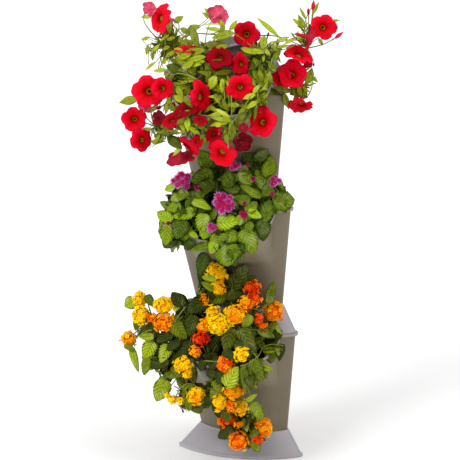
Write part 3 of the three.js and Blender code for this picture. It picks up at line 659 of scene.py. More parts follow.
def round_edges(piece, width):
    """A small rounding along every sharp edge."""
    bevel = piece.modifiers.new("rounding", "BEVEL")
    bevel.width, bevel.segments = width, 2
    bevel.limit_method, bevel.angle_limit = "ANGLE", math.radians(38)
    bevel.harden_normals = True


def circle(count):
    angle = np.linspace(0, 2 * math.pi, count, endpoint=False)
    return np.stack([np.cos(angle), np.sin(angle)], -1)


def drills(material, low, high):
    """Upright rods where the drain holes go."""
    places = np.array(DRAIN_SHARES) * DRAIN_STEP + (0, FLOOR_MIDDLE)
    flat = places[:, None, None] + DRAIN_RADIUS * np.stack([circle(24)] * 2)
    rise = np.broadcast_to(np.array([low, high])[:, None, None], (*flat.shape[:3], 1))
    surface = Surface()
    surface.add_rings(np.concatenate([flat, rise], -1))
    return surface.build("cutter", material)


def pot_shell(tier, material):
    """The pot with its planting bay: up the outside, over the bead, down the inside, closed by a floor."""
    shares = np.linspace(0, 0.97, 19)
    rim = [pot_ring(lip_height(FRONT_TURNS) - drop, out) for drop, out, _ in BEAD_SECTION]
    outside = [pot_ring(POT_FLOOR, 0), *bay_rows(shares, 0)]
    inside = [*bay_rows(shares[::-1], WALL), pot_ring(POT_FLOOR + WALL, -WALL)]
    middle, drawn = (0, FLOOR_MIDDLE), np.array([0.5, 0.97])
    outside = [*drawn_in(outside[0], middle, drawn[::-1]), *outside]
    inside = [*inside, *drawn_in(inside[-1], middle, drawn)]
    rings = np.stack(outside + rim + inside) + (0, 0, RIM_HEIGHT[tier])
    tones = np.pad(BEAD_SECTION[:, 2], (len(outside), len(inside)))
    rows, count = rings.shape[:2]
    surface = Surface()
    surface.add_rings(rings[None], even_places(rows, count), np.pad(np.repeat(tones, count), (0, 2))[None])
    piece = surface.build(tier + "_pot_shell", material, CREASE)
    base = RIM_HEIGHT[tier] + POT_FLOOR
    cut_away(piece, drills(material, base - DRILL_ROOM, base + WALL + DRILL_ROOM), CREASE)
    place_piece(piece, tier + "_tier", "pot_plastic", tier + "_pot")


def skirt_rings(base, start, lower_rings, lower_tones):
    """A sloping skirt with the socket for the next pot, over its lower rings. It starts at the outline base,
    at the height start. Heights are measured from the rim."""
    floor = SKIRT_RISE - SOCKET_DEPTH
    end = SKIRT_RISE - BEAD_EDGE

    def hole(height, out):
        return pot_outline(height - TIER_PITCH) + (FIT_GAP + out) * -INSET

    top = hole(SKIRT_RISE, LAND)

    def slope(height):
        return base + (top - base) * (height - start) / (end - start)

    lift = start + np.linspace(0.06, 1, 8) * (end - start)
    rings = lower_rings + [plan_ring(slope(height), height) for height in lift]
    rings += [plan_ring(outline, height) for outline, height in (
        (hole(SKIRT_RISE, LAND - 0.0002), SKIRT_RISE - SOFT_EDGE),
        (hole(SKIRT_RISE, LAND - BEAD_EDGE), SKIRT_RISE),
        (hole(SKIRT_RISE, 0), SKIRT_RISE),
        (hole(floor, 0), floor),
        (hole(floor, -LEDGE), floor),
        (hole(floor, -LEDGE), floor - WALL),
        (slope(floor - WALL) + SKIRT_WALL * INSET, floor - WALL),
    )]
    # The tones paint the socket's rim paler: wear, and a painted highlight along it
    return rings, lower_tones + [0] * 7 + [0.5, 0.9, 1, 0.4, 0, 0, 0, 0]


def mouth_cutter(material, rise):
    """The U-shaped opening of a cover, cut straight back to the socket."""
    right = np.array(MOUTH_SHARES) * (RIM[0], SKIRT_RISE)
    crown, last = MOUTH_CROWN_SHARE * SKIRT_RISE, right[-1]
    corner, end = np.array([last[0] * 0.9, crown]), np.array([last[0] * 0.6, crown])
    half = np.concatenate([right[:-1], along_bend(last, corner, end, np.linspace(0, 1, BEND_STEPS))])
    profile = np.concatenate([half, half[::-1] * (-1, 1)])
    back = BACK_CORNER_Y - NECK[2] - NECK[1] - FIT_GAP - WALL - SKIRT_WALL
    rings = np.stack([np.insert(profile, 1, y, 1) for y in (back, back - RIM[0])]) + (0, 0, rise)
    surface = Surface()
    surface.add_rings(rings[None])
    return surface.build("cutter", material)


def cover_skirt(tier, material):
    """The sloping cover on a pot: it closes the rim round the socket and leaves a mouth over the bay."""
    base = POT_RIM + (FIT_GAP - SEAT_WIDTH) * INSET
    seat_height = REST_GAP - SEAT_DEPTH
    seat = pot_outline(seat_height) + (FIT_GAP - SEAT_WIDTH) * INSET
    outlines = ((seat + SKIRT_WALL * INSET, seat_height), (seat, seat_height), (base, BEAD_EDGE))
    rings, tones = skirt_rings(base, 0, [plan_ring(*outline) for outline in outlines], [0, 0, 0.6])
    surface = shell_surface(rings, tones, RIM_HEIGHT[tier])
    piece = surface.build(tier + "_cover_skirt", material, CREASE)
    cut_away(piece, mouth_cutter(material, RIM_HEIGHT[tier]), FINE_CREASE)
    round_edges(piece, COVER_ROUNDING)
    place_piece(piece, tier + "_tier", "cover_plastic", tier + "_cover")


def foot_flare(material):
    """The foot: a flared skirt with a flange round it, and ribs that cross under its socket."""
    base = POT_RIM - BEAD_EDGE * INSET
    start = FLANGE_HEIGHT + BEAD_EDGE
    lower = [plan_ring(outline, height) for outline, height in (
        (POT_RIM + SKIRT_WALL * INSET, 0),
        (RIM + BEAD_EDGE / 2 * INSET, 0),
        (RIM, BEAD_EDGE / 2),
        (RIM, FLANGE_HEIGHT),
        (base, start),
    )]
    # The flange's tones paint its rim paler: wear, and a painted highlight along its edge
    surface = shell_surface(*skirt_rings(base, start, lower, [0, 0, 0.5, 1, 0.3]))
    top = SKIRT_RISE - SOCKET_DEPTH
    low, high = POT_RIM + WALL * INSET, NECK - (FIT_GAP + WALL) * INSET
    ends = (
        (BACK_CORNER_Y - low[2], BACK_CORNER_Y - low[2] - low[1], 0),
        (BACK_CORNER_Y - NECK[2], BACK_CORNER_Y - high[2] - high[1], top),
    )
    half = RIB / 2
    across = [[(-x, -half, z), (x, -half, z), (x, half, z), (-x, half, z)] for x, _, z in ends]
    along = [
        [(-half, front, z), (half, front, z), (half, back, z), (-half, back, z)]
        for back, front, z in ends
    ]
    pad = [np.insert(PAD_RADIUS * circle(32), 2, z, 1) for z in (0, top)]
    for rib in (across, along, pad):
        surface.add_rings(np.array(rib, float)[None])
    piece = surface.build("foot_flare", material, FINE_CREASE)
    round_edges(piece, FOOT_ROUNDING)
    place_piece(piece, "foot", "foot_plastic", "foot")


def soil_bed(tier, material):
    """Soil up to one level, its top hollowed, heaved by two crossed waves, and strewn with seeded crumbs."""
    depth = WALL + FIT_GAP
    bottom = POT_FLOOR + WALL + 2 * REST_GAP + GRID_RISE
    rings = np.stack([pot_ring(bottom, -depth, depth), *bay_rows(np.linspace(0, 1, 30), depth)])
    under = rings[:, :, 2].max(1) < -SOIL_DROP
    rim = rings[~under][0] * (1, 1, 0) - (0, 0, SOIL_DROP)
    shares = np.linspace(0, 0.97, 26)
    top = drawn_in(rim, (0, SOIL_MIDDLE), shares)
    x, y = top[..., 0], top[..., 1]
    heave = SOIL_HEAVE * (np.sin(90 * x) * np.cos(70 * y) + np.sin(160 * x + 110 * y))
    heave += np.random.default_rng(5).normal(0, SOIL_CRUMB, x.shape) - SOIL_HOLLOW
    top[..., 2] += heave * np.minimum(shares * 8, 1)[:, None]
    surface = Surface()
    surface.add_rings((np.concatenate([rings[under], top]) + (0, 0, RIM_HEIGHT[tier]))[None])
    piece = surface.build(tier + "_soil_bed", material, SOIL_CREASE)
    place_piece(piece, tier + "_tier", "soil", tier + "_soil")


# The clumps of leaves of each plant: across as a share of the rim's span, front as a share of the lip's
# reach, up as a share of the pitch from the rim, half width and half height as shares of the span, and the
# size of its leaves
CLUMPS = {
    "neck_left_petunia": ((-0.17, 0.66, 0.15, 0.23, 0.19, 1), (-0.78, 0.22, 0.08, 0.25, 0.23, 0.75)),
    "neck_right_petunia": (
        (0.45, 0.62, 0.19, 0.25, 0.21, 0.9), (0.82, 0.35, 0.21, 0.18, 0.29, 0.6),
        (0.74, 0.42, -0.09, 0.13, 0.17, 0.8),
    ),
    "upper_left_petunia": (
        (-0.54, 0.66, -0.09, 0.28, 0.22, 1), (-0.7, 0.73, -0.36, 0.24, 0.19, 1),
        (-0.18, 1.04, -0.21, 0.22, 0.22, 1),
    ),
    "upper_right_petunia": (
        (0.16, 0.79, -0.06, 0.22, 0.24, 1), (0.46, 0.89, -0.05, 0.17, 0.18, 1),
        (0.29, 1.1, -0.2, 0.16, 0.17, 1),
    ),
    "middle_left_ageratum": (
        (-0.41, 0.81, 0.05, 0.27, 0.27, 1), (-0.48, 0.93, -0.13, 0.19, 0.22, 1),
        (-0.2, 0.73, 0.21, 0.2, 0.18, 1), (-0.08, 0.93, -0.05, 0.19, 0.23, 1),
    ),
    "middle_right_ageratum": (
        (0.15, 0.7, 0.24, 0.22, 0.23, 1), (0.44, 0.64, 0.12, 0.25, 0.27, 1),
        (0.32, 0.87, -0.02, 0.21, 0.28, 1), (0.31, 0.55, 0.35, 0.19, 0.17, 1),
        (0.16, 1.05, -0.18, 0.16, 0.15, 0.6),
    ),
    "lower_left_lantana": (
        (-0.78, 0.83, 0.14, 0.29, 0.26, 1), (-0.39, 0.83, 0.14, 0.27, 0.28, 1),
        (-0.62, 0.9, -0.16, 0.28, 0.27, 1), (-0.37, 0.99, -0.4, 0.23, 0.22, 1),
        (-0.14, 0.7, 0.42, 0.19, 0.22, 1),
    ),
    "lower_right_lantana": (
        (0.13, 0.81, 0.13, 0.27, 0.29, 1), (0.39, 0.7, -0.01, 0.22, 0.26, 1),
        (0.3, 1.08, -0.09, 0.23, 0.24, 1), (0.04, 1.03, -0.35, 0.2, 0.25, 1),
        (0.2, 0.87, -0.68, 0.21, 0.18, 1),
    ),
}
CLUMP_DEPTH = 0.75
LEAF_ROOM = 0.008  # leaves stand this far in front of a wall
BLOOM_ROOM = 0.005  # blooms this far in front of the leaves
LEAF_SINK = 0.003  # and filler leaves this far behind the ones that the photograph shows
BAY_CROWN = (0.18, 0.82, 0.07)
NECK_CROWN = (0.13, 0.33, 0.25)
BLOOM_COVER = 0.004  # what stands no further than this behind a bloom's middle still hides it
STEM_SINK = 0.012  # stems that would cross a bloom pass this far behind its middle
RAY_ROOM = 0.36  # rays are followed this far before and behind the aim
RAY_STEP = 0.003
FLOOR_ROOM = 0.004
BOX_ROOM = 0.006  # leaves' tips may leave the solids' box by this
MAX_LEAN = 0.45  # a shown leaf leans towards the camera or away by this share of its length at most
TRUNK_RADIUS = 0.0042
TRUNK_SINK = 0.004
TRUNK_SWAY = 0.0012 * np.array([(0, 0, 0), (2, 1, 0), (-1, 2, 0), (1, -1, 0), (0, 0, 0)])
SHOOT_RADII = np.linspace(0.0016, 0.0008, 13)
SHOOT_ROOM = 0.012

# Open petunias: place in the photograph, depth in front of the back corner in millimetres, radius in
# pixels, turn to the right and tilt upwards in degrees, and brightness, which paints the shade on each
# bloom along with the deeper red of wilting ones
PETUNIAS = {
    "neck_left_petunia": (
        (150, 8, 95, 8, 150, 20, 0.9), (158, 18, 110, 16, -56, 6, 1), (219, 14, 70, 11.5, 150, 22, 1),
        (187, 49, 150, 13, 0, 74, 0.8), (220, 56, 160, 14, 3, 34, 0.12),
    ),
    "neck_right_petunia": (
        (246, 34, 110, 13.5, -4, 4, 0.65), (323, 27, 90, 13, 6, 4, 0.85), (311, 38, 88, 14, 104, -14, 0.6),
        (299, 53, 110, 15, 30, 52, 0.95), (292, 74, 130, 15, 8, 12, 0.8), (281, 78, 134, 11, -16, -4, 0.7),
        (301, 106, 120, 12.5, 0, -58, 0.7), (239, 64, 165, 12, -44, 0, 0.5),
        (308, 62, 100, 6, 150, 10, 0.45),
    ),
    "upper_left_petunia": (
        (148, 91, 190, 16.5, -8, 2, 0.95), (163, 88, 197, 11.5, 14, 4, 0.95),
        (203, 97, 215, 17, 54, 0, 0.9), (134, 119, 190, 12.5, -4, 2, 0.85),
        (143, 140, 200, 12.5, 34, 0, 0.8), (159, 118, 185, 8, 150, 0, 0.1),
        (145, 107, 175, 7, 170, 30, 0.9), (171, 119, 214, 11, -30, 42, 0.4),
        (187, 108, 216, 12, -8, 52, 0.05), (201, 119, 228, 7.5, 20, 40, 0.3),
        (181, 160, 232, 14.5, 160, -60, 0.6), (186, 147, 235, 14, -72, -46, 0.8),
        (197, 141, 236, 6.5, 10, 10, 0.45),
    ),
    "upper_right_petunia": (
        (240, 88, 212, 14, 4, -22, 1), (261, 122, 204, 15.5, -26, 4, 1), (213, 134, 230, 9, -20, 10, 0.6),
        (220, 154, 240, 16.5, -36, -34, 1), (243, 142, 205, 10, 165, 0, 0.15),
        (243, 128, 190, 5, 180, 0, 0.25),
    ),
}
# Buds: place, depth, length in pixels, turn and tilt, and brightness, which paints the shade on each bud
# along with its own depth of colour
PETUNIA_BUDS = {
    "neck_left_petunia": ((256, 44, 90, 7, 20, 60, 0.3), (174, 108, 180, 7, -60, 30, 0.4)),
    "neck_right_petunia": (
        (313, 5, 80, 11, 20, 75, 0.7), (339, 35, 80, 11, 70, 35, 0.8), (308, 11, 80, 8, -20, 80, 0.3),
        (268, 34, 80, 6, 20, 50, 0.3),
    ),
    "upper_left_petunia": ((174, 105, 216, 7, 10, 60, 0), (158, 108, 205, 9, -50, -20, 0)),
    "upper_right_petunia": (
        (245, 129, 215, 15, 78, -8, 0.7), (220, 129, 232, 9, 70, 70, 0.5), (242, 114, 210, 5, 40, -40, 0),
    ),
}
# Single leaves that the photograph shows: where the leaf starts and ends, its width, all in pixels, and
# its tone from dark to bright, which paints in the light and shade on the leaf along with its own colour
SHOWN_LEAVES = {
    "neck_left_petunia": (
        (166, 13, 170, 35, 10, 0.35), (170, 22, 162, 36, 8, 0.3), (174, 23, 183, 16, 7, 0.6),
        (186, 32, 200, 25, 8, 0.6), (191, 27, 198, 48, 8, 0.35), (153, 17, 140, 17, 5, 0.75),
        (212, 16, 204, 8, 5, 0.8), (212, 19, 202, 12, 5, 0.75), (224, 32, 204, 28, 5, 0.8),
        (222, 25, 201, 23, 3, 0.9), (224, 32, 220, 19, 5, 0.8), (229, 31, 237, 20, 5, 0.75),
        (206, 50, 178, 55, 10, 0.45), (206, 57, 184, 60, 8, 0.6), (205, 61, 186, 66, 7, 0.75),
        (188, 61, 195, 77, 10, 0.35), (170, 59, 181, 66, 8, 0.3), (166, 66, 184, 72, 10, 0.15),
        (172, 72, 191, 79, 10, 0.05), (168, 58, 160, 64, 6, 0.6), (199, 79, 176, 81, 6, 0.75),
        (233, 78, 198, 72, 10, 0.45), (214, 70, 204, 64, 8, 0.25), (176, 51, 164, 57, 6, 0.6),
        (232, 71, 214, 73, 7, 0.6), (160, 44, 150, 54, 4, 0.85), (166, 40, 176, 37, 4, 0.9),
        (156, 62, 144, 70, 4, 0.9), (150, 37, 141, 40, 4, 0.8), (148, 44, 146, 56, 4, 0.8),
        (170, 34, 159, 41, 4, 0.85), (180, 28, 190, 34, 6, 0.5), (168, 70, 152, 71, 5, 0.95),
        (152, 52, 153, 61, 4, 0.85), (170, 46, 162, 50, 4, 0.7), (178, 42, 184, 36, 4, 0.9),
        (190, 40, 180, 44, 5, 0.7), (196, 82, 182, 76, 6, 0.4), (226, 66, 212, 60, 8, 0.2),
        (186, 46, 196, 40, 6, 0.4), (192, 53, 176, 60, 8, 0.7), (188, 66, 174, 57, 8, 0.5),
        (194, 62, 180, 69, 8, 0.6), (174, 49, 186, 56, 7, 0.8), (182, 72, 168, 66, 7, 0.7),
        (176, 78, 163, 74, 7, 0.5), (224, 44, 206, 46, 8, 0.3), (214, 50, 230, 44, 7, 0.5),
    ),
    "neck_right_petunia": (
        (235, 33, 211, 38, 10, 0.45), (279, 37, 256, 17, 5, 0.75), (304, 29, 298, 14, 6, 0.5),
        (302, 27, 292, 18, 4, 0.7), (306, 20, 299, 7, 3, 0.75), (313, 14, 318, 2, 4, 0.8),
        (330, 21, 340, 20, 3, 0.8), (318, 38, 323, 46, 4, 0.7), (312, 68, 306, 86, 8, 0.5),
        (304, 84, 316, 76, 5, 0.6), (298, 86, 301, 98, 6, 0.55), (306, 90, 303, 100, 5, 0.6),
        (262, 62, 243, 69, 11, 0.12), (266, 53, 245, 49, 6, 0.7), (262, 84, 252, 68, 8, 0.6),
        (261, 85, 244, 70, 5, 0.75), (263, 85, 270, 71, 6, 0.55), (262, 84, 259, 67, 6, 0.45),
        (266, 87, 272, 78, 6, 0.5), (256, 88, 284, 94, 10, 0.12), (276, 87, 292, 92, 8, 0.2),
        (284, 92, 288, 111, 8, 0.4), (264, 36, 262, 50, 8, 0.5), (270, 46, 283, 50, 6, 0.5),
        (272, 61, 281, 48, 6, 0.3), (276, 41, 290, 36, 4, 0.8), (284, 44, 296, 37, 4, 0.85),
        (276, 48, 290, 45, 4, 0.7), (252, 58, 264, 70, 7, 0.3), (296, 34, 302, 42, 4, 0.8),
        (240, 48, 256, 54, 6, 0.55), (268, 62, 276, 72, 7, 0.35), (264, 70, 274, 84, 7, 0.4),
        (258, 76, 268, 90, 8, 0.5), (300, 66, 290, 60, 6, 0.4), (310, 76, 318, 82, 4, 0.7),
        (292, 88, 298, 100, 5, 0.5), (270, 56, 262, 46, 5, 0.6),
    ),
    "upper_left_petunia": (
        (139, 98, 118, 103, 9, 0.5), (172, 82, 193, 95, 9, 0.5), (193, 84, 173, 90, 7, 0.6),
        (177, 99, 195, 103, 6, 0.75), (170, 95, 165, 116, 6, 0.92), (186, 115, 188, 132, 7, 0.85),
        (180, 119, 184, 133, 5, 0.6), (170, 126, 161, 135, 8, 0.3), (167, 136, 182, 149, 11, 0.12),
        (150, 142, 165, 141, 5, 0.5), (160, 134, 152, 146, 4, 0.6), (188, 127, 200, 134, 6, 0.6),
        (196, 78, 178, 84, 5, 0.9), (174, 89, 170, 103, 6, 0.4), (190, 86, 183, 99, 6, 0.35),
        (200, 134, 207, 146, 6, 0.4), (182, 146, 172, 156, 5, 0.7), (152, 130, 142, 128, 4, 0.5),
        (194, 124, 206, 128, 6, 0.5), (170, 134, 158, 132, 4, 0.6), (190, 104, 180, 98, 6, 0.3),
        (168, 104, 176, 112, 6, 0.25), (176, 124, 186, 118, 6, 0.35), (150, 112, 158, 104, 5, 0.5),
        (184, 96, 192, 108, 7, 0.3), (160, 128, 170, 122, 6, 0.3), (176, 86, 183, 100, 7, 0.6),
        (187, 92, 173, 97, 7, 0.5), (173, 95, 184, 104, 6, 0.7), (192, 111, 179, 117, 7, 0.45),
        (176, 111, 187, 119, 6, 0.6),
    ),
    "upper_right_petunia": (
        (216, 75, 208, 91, 10, 1), (222, 78, 222, 93, 6, 0.95), (232, 122, 209, 117, 5, 0.6),
        (229, 112, 206, 116, 5, 0.75), (232, 121, 207, 125, 6, 0.65), (230, 118, 213, 107, 5, 0.85),
        (228, 112, 222, 98, 5, 0.6), (240, 106, 226, 104, 6, 0.6), (256, 94, 242, 99, 6, 0.9),
        (259, 101, 244, 109, 6, 0.9), (252, 94, 260, 84, 5, 0.8), (248, 108, 237, 113, 7, 0.3),
        (236, 100, 232, 113, 4, 0.75), (222, 126, 213, 124, 5, 0.85), (224, 129, 228, 147, 5, 0.5),
        (246, 112, 236, 122, 7, 0.2), (250, 117, 240, 128, 6, 0.2), (222, 95, 213, 104, 6, 0.4),
        (218, 100, 226, 110, 6, 0.35), (214, 94, 220, 104, 6, 0.5), (232, 92, 226, 80, 5, 0.85),
        (212, 104, 204, 112, 6, 0.5), (216, 112, 208, 104, 5, 0.6), (238, 116, 246, 106, 5, 0.6),
        (230, 124, 236, 134, 6, 0.3), (222, 116, 212, 120, 5, 0.5),
    ),
    "middle_left_ageratum": (
        (210, 168, 200, 150, 17, 0.3), (213, 172, 191, 182, 18, 0.3), (219, 186, 197, 184, 15, 0.25),
        (175, 186, 164, 190, 9, 1), (186, 190, 178, 200, 13, 0.45), (181, 205, 166, 209, 13, 0.5),
        (196, 192, 186, 206, 12, 0.3), (192, 200, 211, 208, 12, 0.95), (195, 211, 172, 217, 13, 0.75),
        (172, 221, 157, 211, 15, 0.85), (168, 223, 166, 246, 16, 0.6), (184, 219, 176, 239, 19, 0.25),
        (204, 213, 201, 233, 16, 0.6), (190, 226, 185, 240, 8, 0.95), (207, 226, 203, 240, 13, 0.65),
        (194, 240, 184, 250, 12, 0.15), (212, 243, 189, 250, 13, 0.45), (196, 190, 204, 200, 9, 0.7),
        (180, 196, 170, 200, 10, 0.6), (216, 234, 210, 244, 9, 0.7), (190, 232, 198, 238, 7, 0.95),
        (206, 252, 198, 276, 14, 0.15), (208, 206, 198, 212, 9, 0.15), (178, 206, 186, 214, 9, 0.2),
    ),
    "middle_right_ageratum": (
        (272, 202, 295, 199, 25, 0.4), (267, 178, 271, 155, 16, 0.5), (262, 172, 243, 152, 19, 0.2),
        (256, 160, 268, 149, 13, 0.2), (228, 188, 228, 169, 14, 0.3), (252, 184, 238, 173, 14, 0.5),
        (266, 190, 256, 168, 15, 0.4), (262, 197, 240, 185, 14, 0.5), (262, 222, 269, 199, 19, 0.3),
        (216, 223, 239, 221, 18, 0.8), (247, 211, 262, 217, 11, 0.95), (262, 219, 263, 242, 17, 0.2),
        (243, 229, 254, 256, 21, 0.5), (238, 233, 213, 244, 15, 0.5), (227, 245, 229, 268, 27, 0.45),
        (236, 240, 241, 261, 15, 0.2), (240, 190, 222, 186, 13, 0.25), (250, 202, 230, 196, 13, 0.35),
        (246, 212, 257, 201, 13, 0.4), (272, 186, 262, 196, 13, 0.35), (282, 196, 274, 212, 15, 0.35),
        (252, 222, 244, 232, 12, 0.4), (236, 224, 244, 214, 10, 0.6), (276, 176, 266, 186, 11, 0.4),
        (240, 166, 248, 176, 11, 0.3), (216, 242, 210, 254, 12, 0.8), (230, 200, 238, 208, 9, 0.15),
        (226, 158, 236, 150, 11, 0.2),
    ),
    "lower_left_lantana": (
        (135, 300, 124, 307, 14, 0.95), (146, 295, 154, 307, 9, 0.3), (183, 306, 172, 291, 16, 0.1),
        (181, 298, 176, 311, 7, 0.85), (207, 300, 187, 312, 19, 0.05), (195, 315, 188, 337, 18, 0.1),
        (173, 322, 187, 339, 18, 0.4), (173, 332, 155, 342, 13, 0.1), (139, 316, 135, 331, 9, 0.3),
        (157, 323, 141, 331, 10, 0.15), (154, 336, 139, 337, 9, 0.9), (153, 341, 144, 360, 16, 0.9),
        (131, 346, 138, 373, 8, 0.85), (124, 345, 136, 351, 6, 0.5), (148, 358, 144, 376, 10, 0.5),
        (169, 361, 149, 368, 11, 0.1), (169, 344, 160, 363, 14, 0.75), (185, 372, 163, 375, 16, 0.4),
        (190, 366, 194, 384, 12, 0.3), (166, 379, 156, 402, 18, 0.65), (189, 383, 187, 412, 18, 0.45),
        (209, 391, 203, 409, 12, 0.25), (191, 341, 177, 357, 15, 0.05), (206, 257, 199, 287, 12, 0.15),
        (218, 278, 201, 277, 10, 0.85), (227, 292, 207, 303, 18, 0.4), (216, 290, 201, 281, 10, 0.6),
        (206, 352, 216, 375, 15, 0.15), (208, 391, 217, 380, 12, 0.5), (180, 340, 166, 350, 12, 0.05),
        (186, 352, 172, 362, 12, 0.08), (196, 358, 206, 370, 12, 0.1),
    ),
    "lower_right_lantana": (
        (226, 387, 237, 367, 17, 0.8), (243, 365, 246, 391, 12, 0.35), (232, 327, 226, 352, 19, 0.3),
        (240, 328, 254, 351, 19, 0.25), (214, 337, 217, 353, 13, 0.08), (212, 351, 214, 373, 14, 0.18),
        (251, 359, 264, 384, 16, 0.35), (262, 350, 280, 349, 9, 0.6), (270, 349, 271, 364, 13, 0.3),
        (257, 330, 276, 337, 10, 0.35), (258, 340, 265, 351, 8, 0.3), (223, 350, 236, 359, 11, 0.03),
        (246, 354, 256, 346, 9, 0.2), (206, 338, 212, 350, 10, 0.03), (214, 380, 222, 393, 11, 0.5),
        (222, 372, 216, 385, 9, 0.08), (204, 360, 200, 372, 9, 0.08), (206, 372, 222, 377, 9, 0.08),
        (246, 401, 257, 394, 6, 0.95), (250, 314, 243, 329, 12, 0.6), (268, 304, 273, 282, 11, 0.4),
        (231, 288, 247, 265, 21, 0.15), (242, 288, 226, 300, 15, 0.2), (233, 429, 216, 437, 15, 0.12),
        (252, 402, 263, 421, 13, 0.5), (252, 439, 260, 453, 11, 0.5), (244, 418, 247, 432, 8, 0.6),
        (214, 402, 221, 419, 10, 0.05), (218, 388, 210, 400, 11, 0.4), (258, 430, 250, 438, 9, 0.3),
        (244, 286, 256, 276, 11, 0.2), (230, 420, 222, 410, 9, 0.3), (234, 344, 246, 348, 12, 0.12),
        (222, 330, 216, 342, 11, 0.1), (244, 344, 250, 358, 10, 0.12), (226, 404, 234, 414, 9, 0.1),
        (212, 404, 204, 396, 9, 0.1),
    ),
}
# Single stems that it shows: start, bend and end, and their width, in pixels
SHOWN_STEMS = {
    "neck_left_petunia": (
        (158, 72, 168, 52, 164, 34, 1.0), (150, 68, 145, 56, 152, 42, 0.8),
        (172, 60, 178, 44, 190, 34, 1.0), (206, 34, 222, 34, 222, 24, 1.1),
        (196, 46, 186, 40, 172, 24, 1.1), (154, 52, 146, 46, 141, 38, 0.7),
    ),
    "neck_right_petunia": (
        (262, 52, 272, 40, 296, 40, 1.2), (296, 40, 306, 40, 314, 30, 1.2),
        (272, 58, 268, 76, 262, 88, 1.2), (304, 34, 303, 20, 311, 8, 0.9), (310, 70, 316, 86, 306, 98, 1.0),
        (270, 50, 284, 52, 296, 44, 0.9),
    ),
    "upper_left_petunia": ((176, 130, 166, 132, 150, 132, 1.0), (166, 134, 160, 140, 152, 147, 0.8)),
    "upper_right_petunia": (
        (257, 90, 258, 100, 255, 110, 1.0), (228, 94, 230, 102, 227, 112, 1.6),
        (232, 122, 242, 112, 250, 96, 1.0), (222, 82, 225, 92, 224, 102, 1.4),
        (232, 121, 226, 134, 228, 148, 1.0),
    ),
    "middle_left_ageratum": ((190, 200, 184, 194, 181, 188, 1.2),),
    "middle_right_ageratum": ((236, 214, 228, 212, 224, 208, 1.2), (244, 208, 248, 214, 243, 224, 0.9)),
    "lower_left_lantana": (
        (152, 330, 144, 330, 132, 342, 1.2), (188, 372, 178, 372, 166, 394, 1.2),
        (196, 386, 184, 378, 176, 396, 1.1), (186, 306, 176, 318, 168, 332, 1.2),
    ),
    "lower_right_lantana": (
        (240, 366, 250, 364, 258, 356, 1.0), (258, 356, 261, 352, 262, 347, 0.9),
        (250, 350, 255, 354, 259, 361, 1.1), (262, 347, 274, 342, 283, 346, 0.8),
        (234, 306, 250, 306, 262, 312, 1.1),
    ),
}
# Ageratum heads: place, depth, radius of the head in pixels and how many tufts it has
AGERATUMS = {
    "middle_left_ageratum": (
        (181, 182, 175, 8.5, 8), (197, 188, 200, 1.5, 2), (226, 182, 180, 1, 2), (168, 223, 210, 0, 1),
        (225, 241, 225, 0, 1),
    ),
    "middle_right_ageratum": (
        (223, 204, 215, 9.5, 11), (275, 182, 120, 5, 5), (235, 166, 150, 4.5, 4), (212, 228, 235, 3.5, 4),
        (243, 215, 215, 2, 3), (244, 203, 200, 0, 1), (272, 194, 140, 0, 1), (253, 179, 150, 0, 1),
        (247, 165, 130, 0, 1),
    ),
}
# Lantana heads: place, depth, width and height in pixels, and ripeness from lemon to red
LANTANAS = {
    "lower_left_lantana": (
        (140, 299, 190, 14, 18, 0.02), (140, 315, 192, 16, 19, 0.08), (164, 305, 212, 22, 18, 0.08),
        (164, 322, 218, 24, 19, 0.5), (151, 317, 205, 9, 8, 0.6), (129, 339, 200, 17, 15, 0.35),
        (183, 364, 253, 19, 16, 0.15), (187, 373, 250, 10, 12, 0.25), (167, 394, 243, 5, 5, 0.1),
        (172, 400, 245, 8, 7, 0.1), (180, 401, 247, 5, 5, 0.1), (196, 395, 255, 17, 19, 0.3),
        (213, 269, 175, 17, 13, 0.02), (220, 274, 178, 14, 12, 0.15), (219, 288, 182, 13, 14, 0.3),
        (205, 300, 190, 5, 14, 0.5), (204, 325, 233, 14, 16, 0.5), (213, 312, 220, 14, 15, 0.2),
        (218, 324, 238, 23, 20, 0.12), (201, 338, 240, 16, 14, 0.95), (195, 351, 245, 12, 13, 0.5),
    ),
    "lower_right_lantana": (
        (234, 314, 218, 22, 20, 0.35), (245, 303, 200, 15, 13, 0.55), (252, 287, 180, 17, 15, 0.85),
        (253, 298, 185, 16, 14, 0.7), (246, 310, 200, 5, 5, 1), (273, 311, 150, 21, 22, 0.55),
        (258, 319, 185, 9, 9, 0.85), (262, 325, 188, 9, 8, 0.75), (225, 363, 245, 18, 19, 0.7),
        (241, 354, 236, 14, 17, 0.2), (233, 391, 218, 22, 18, 0.42), (219, 402, 226, 13, 18, 0.12),
        (241, 407, 216, 14, 17, 0.15), (230, 406, 214, 12, 12, 0.65), (228, 420, 208, 22, 15, 0.75),
        (239, 424, 200, 8, 6, 0.6), (263, 427, 168, 20, 21, 0.5), (257, 440, 176, 10, 8, 0.85),
        (238, 440, 188, 20, 20, 0.62),
    ),
}
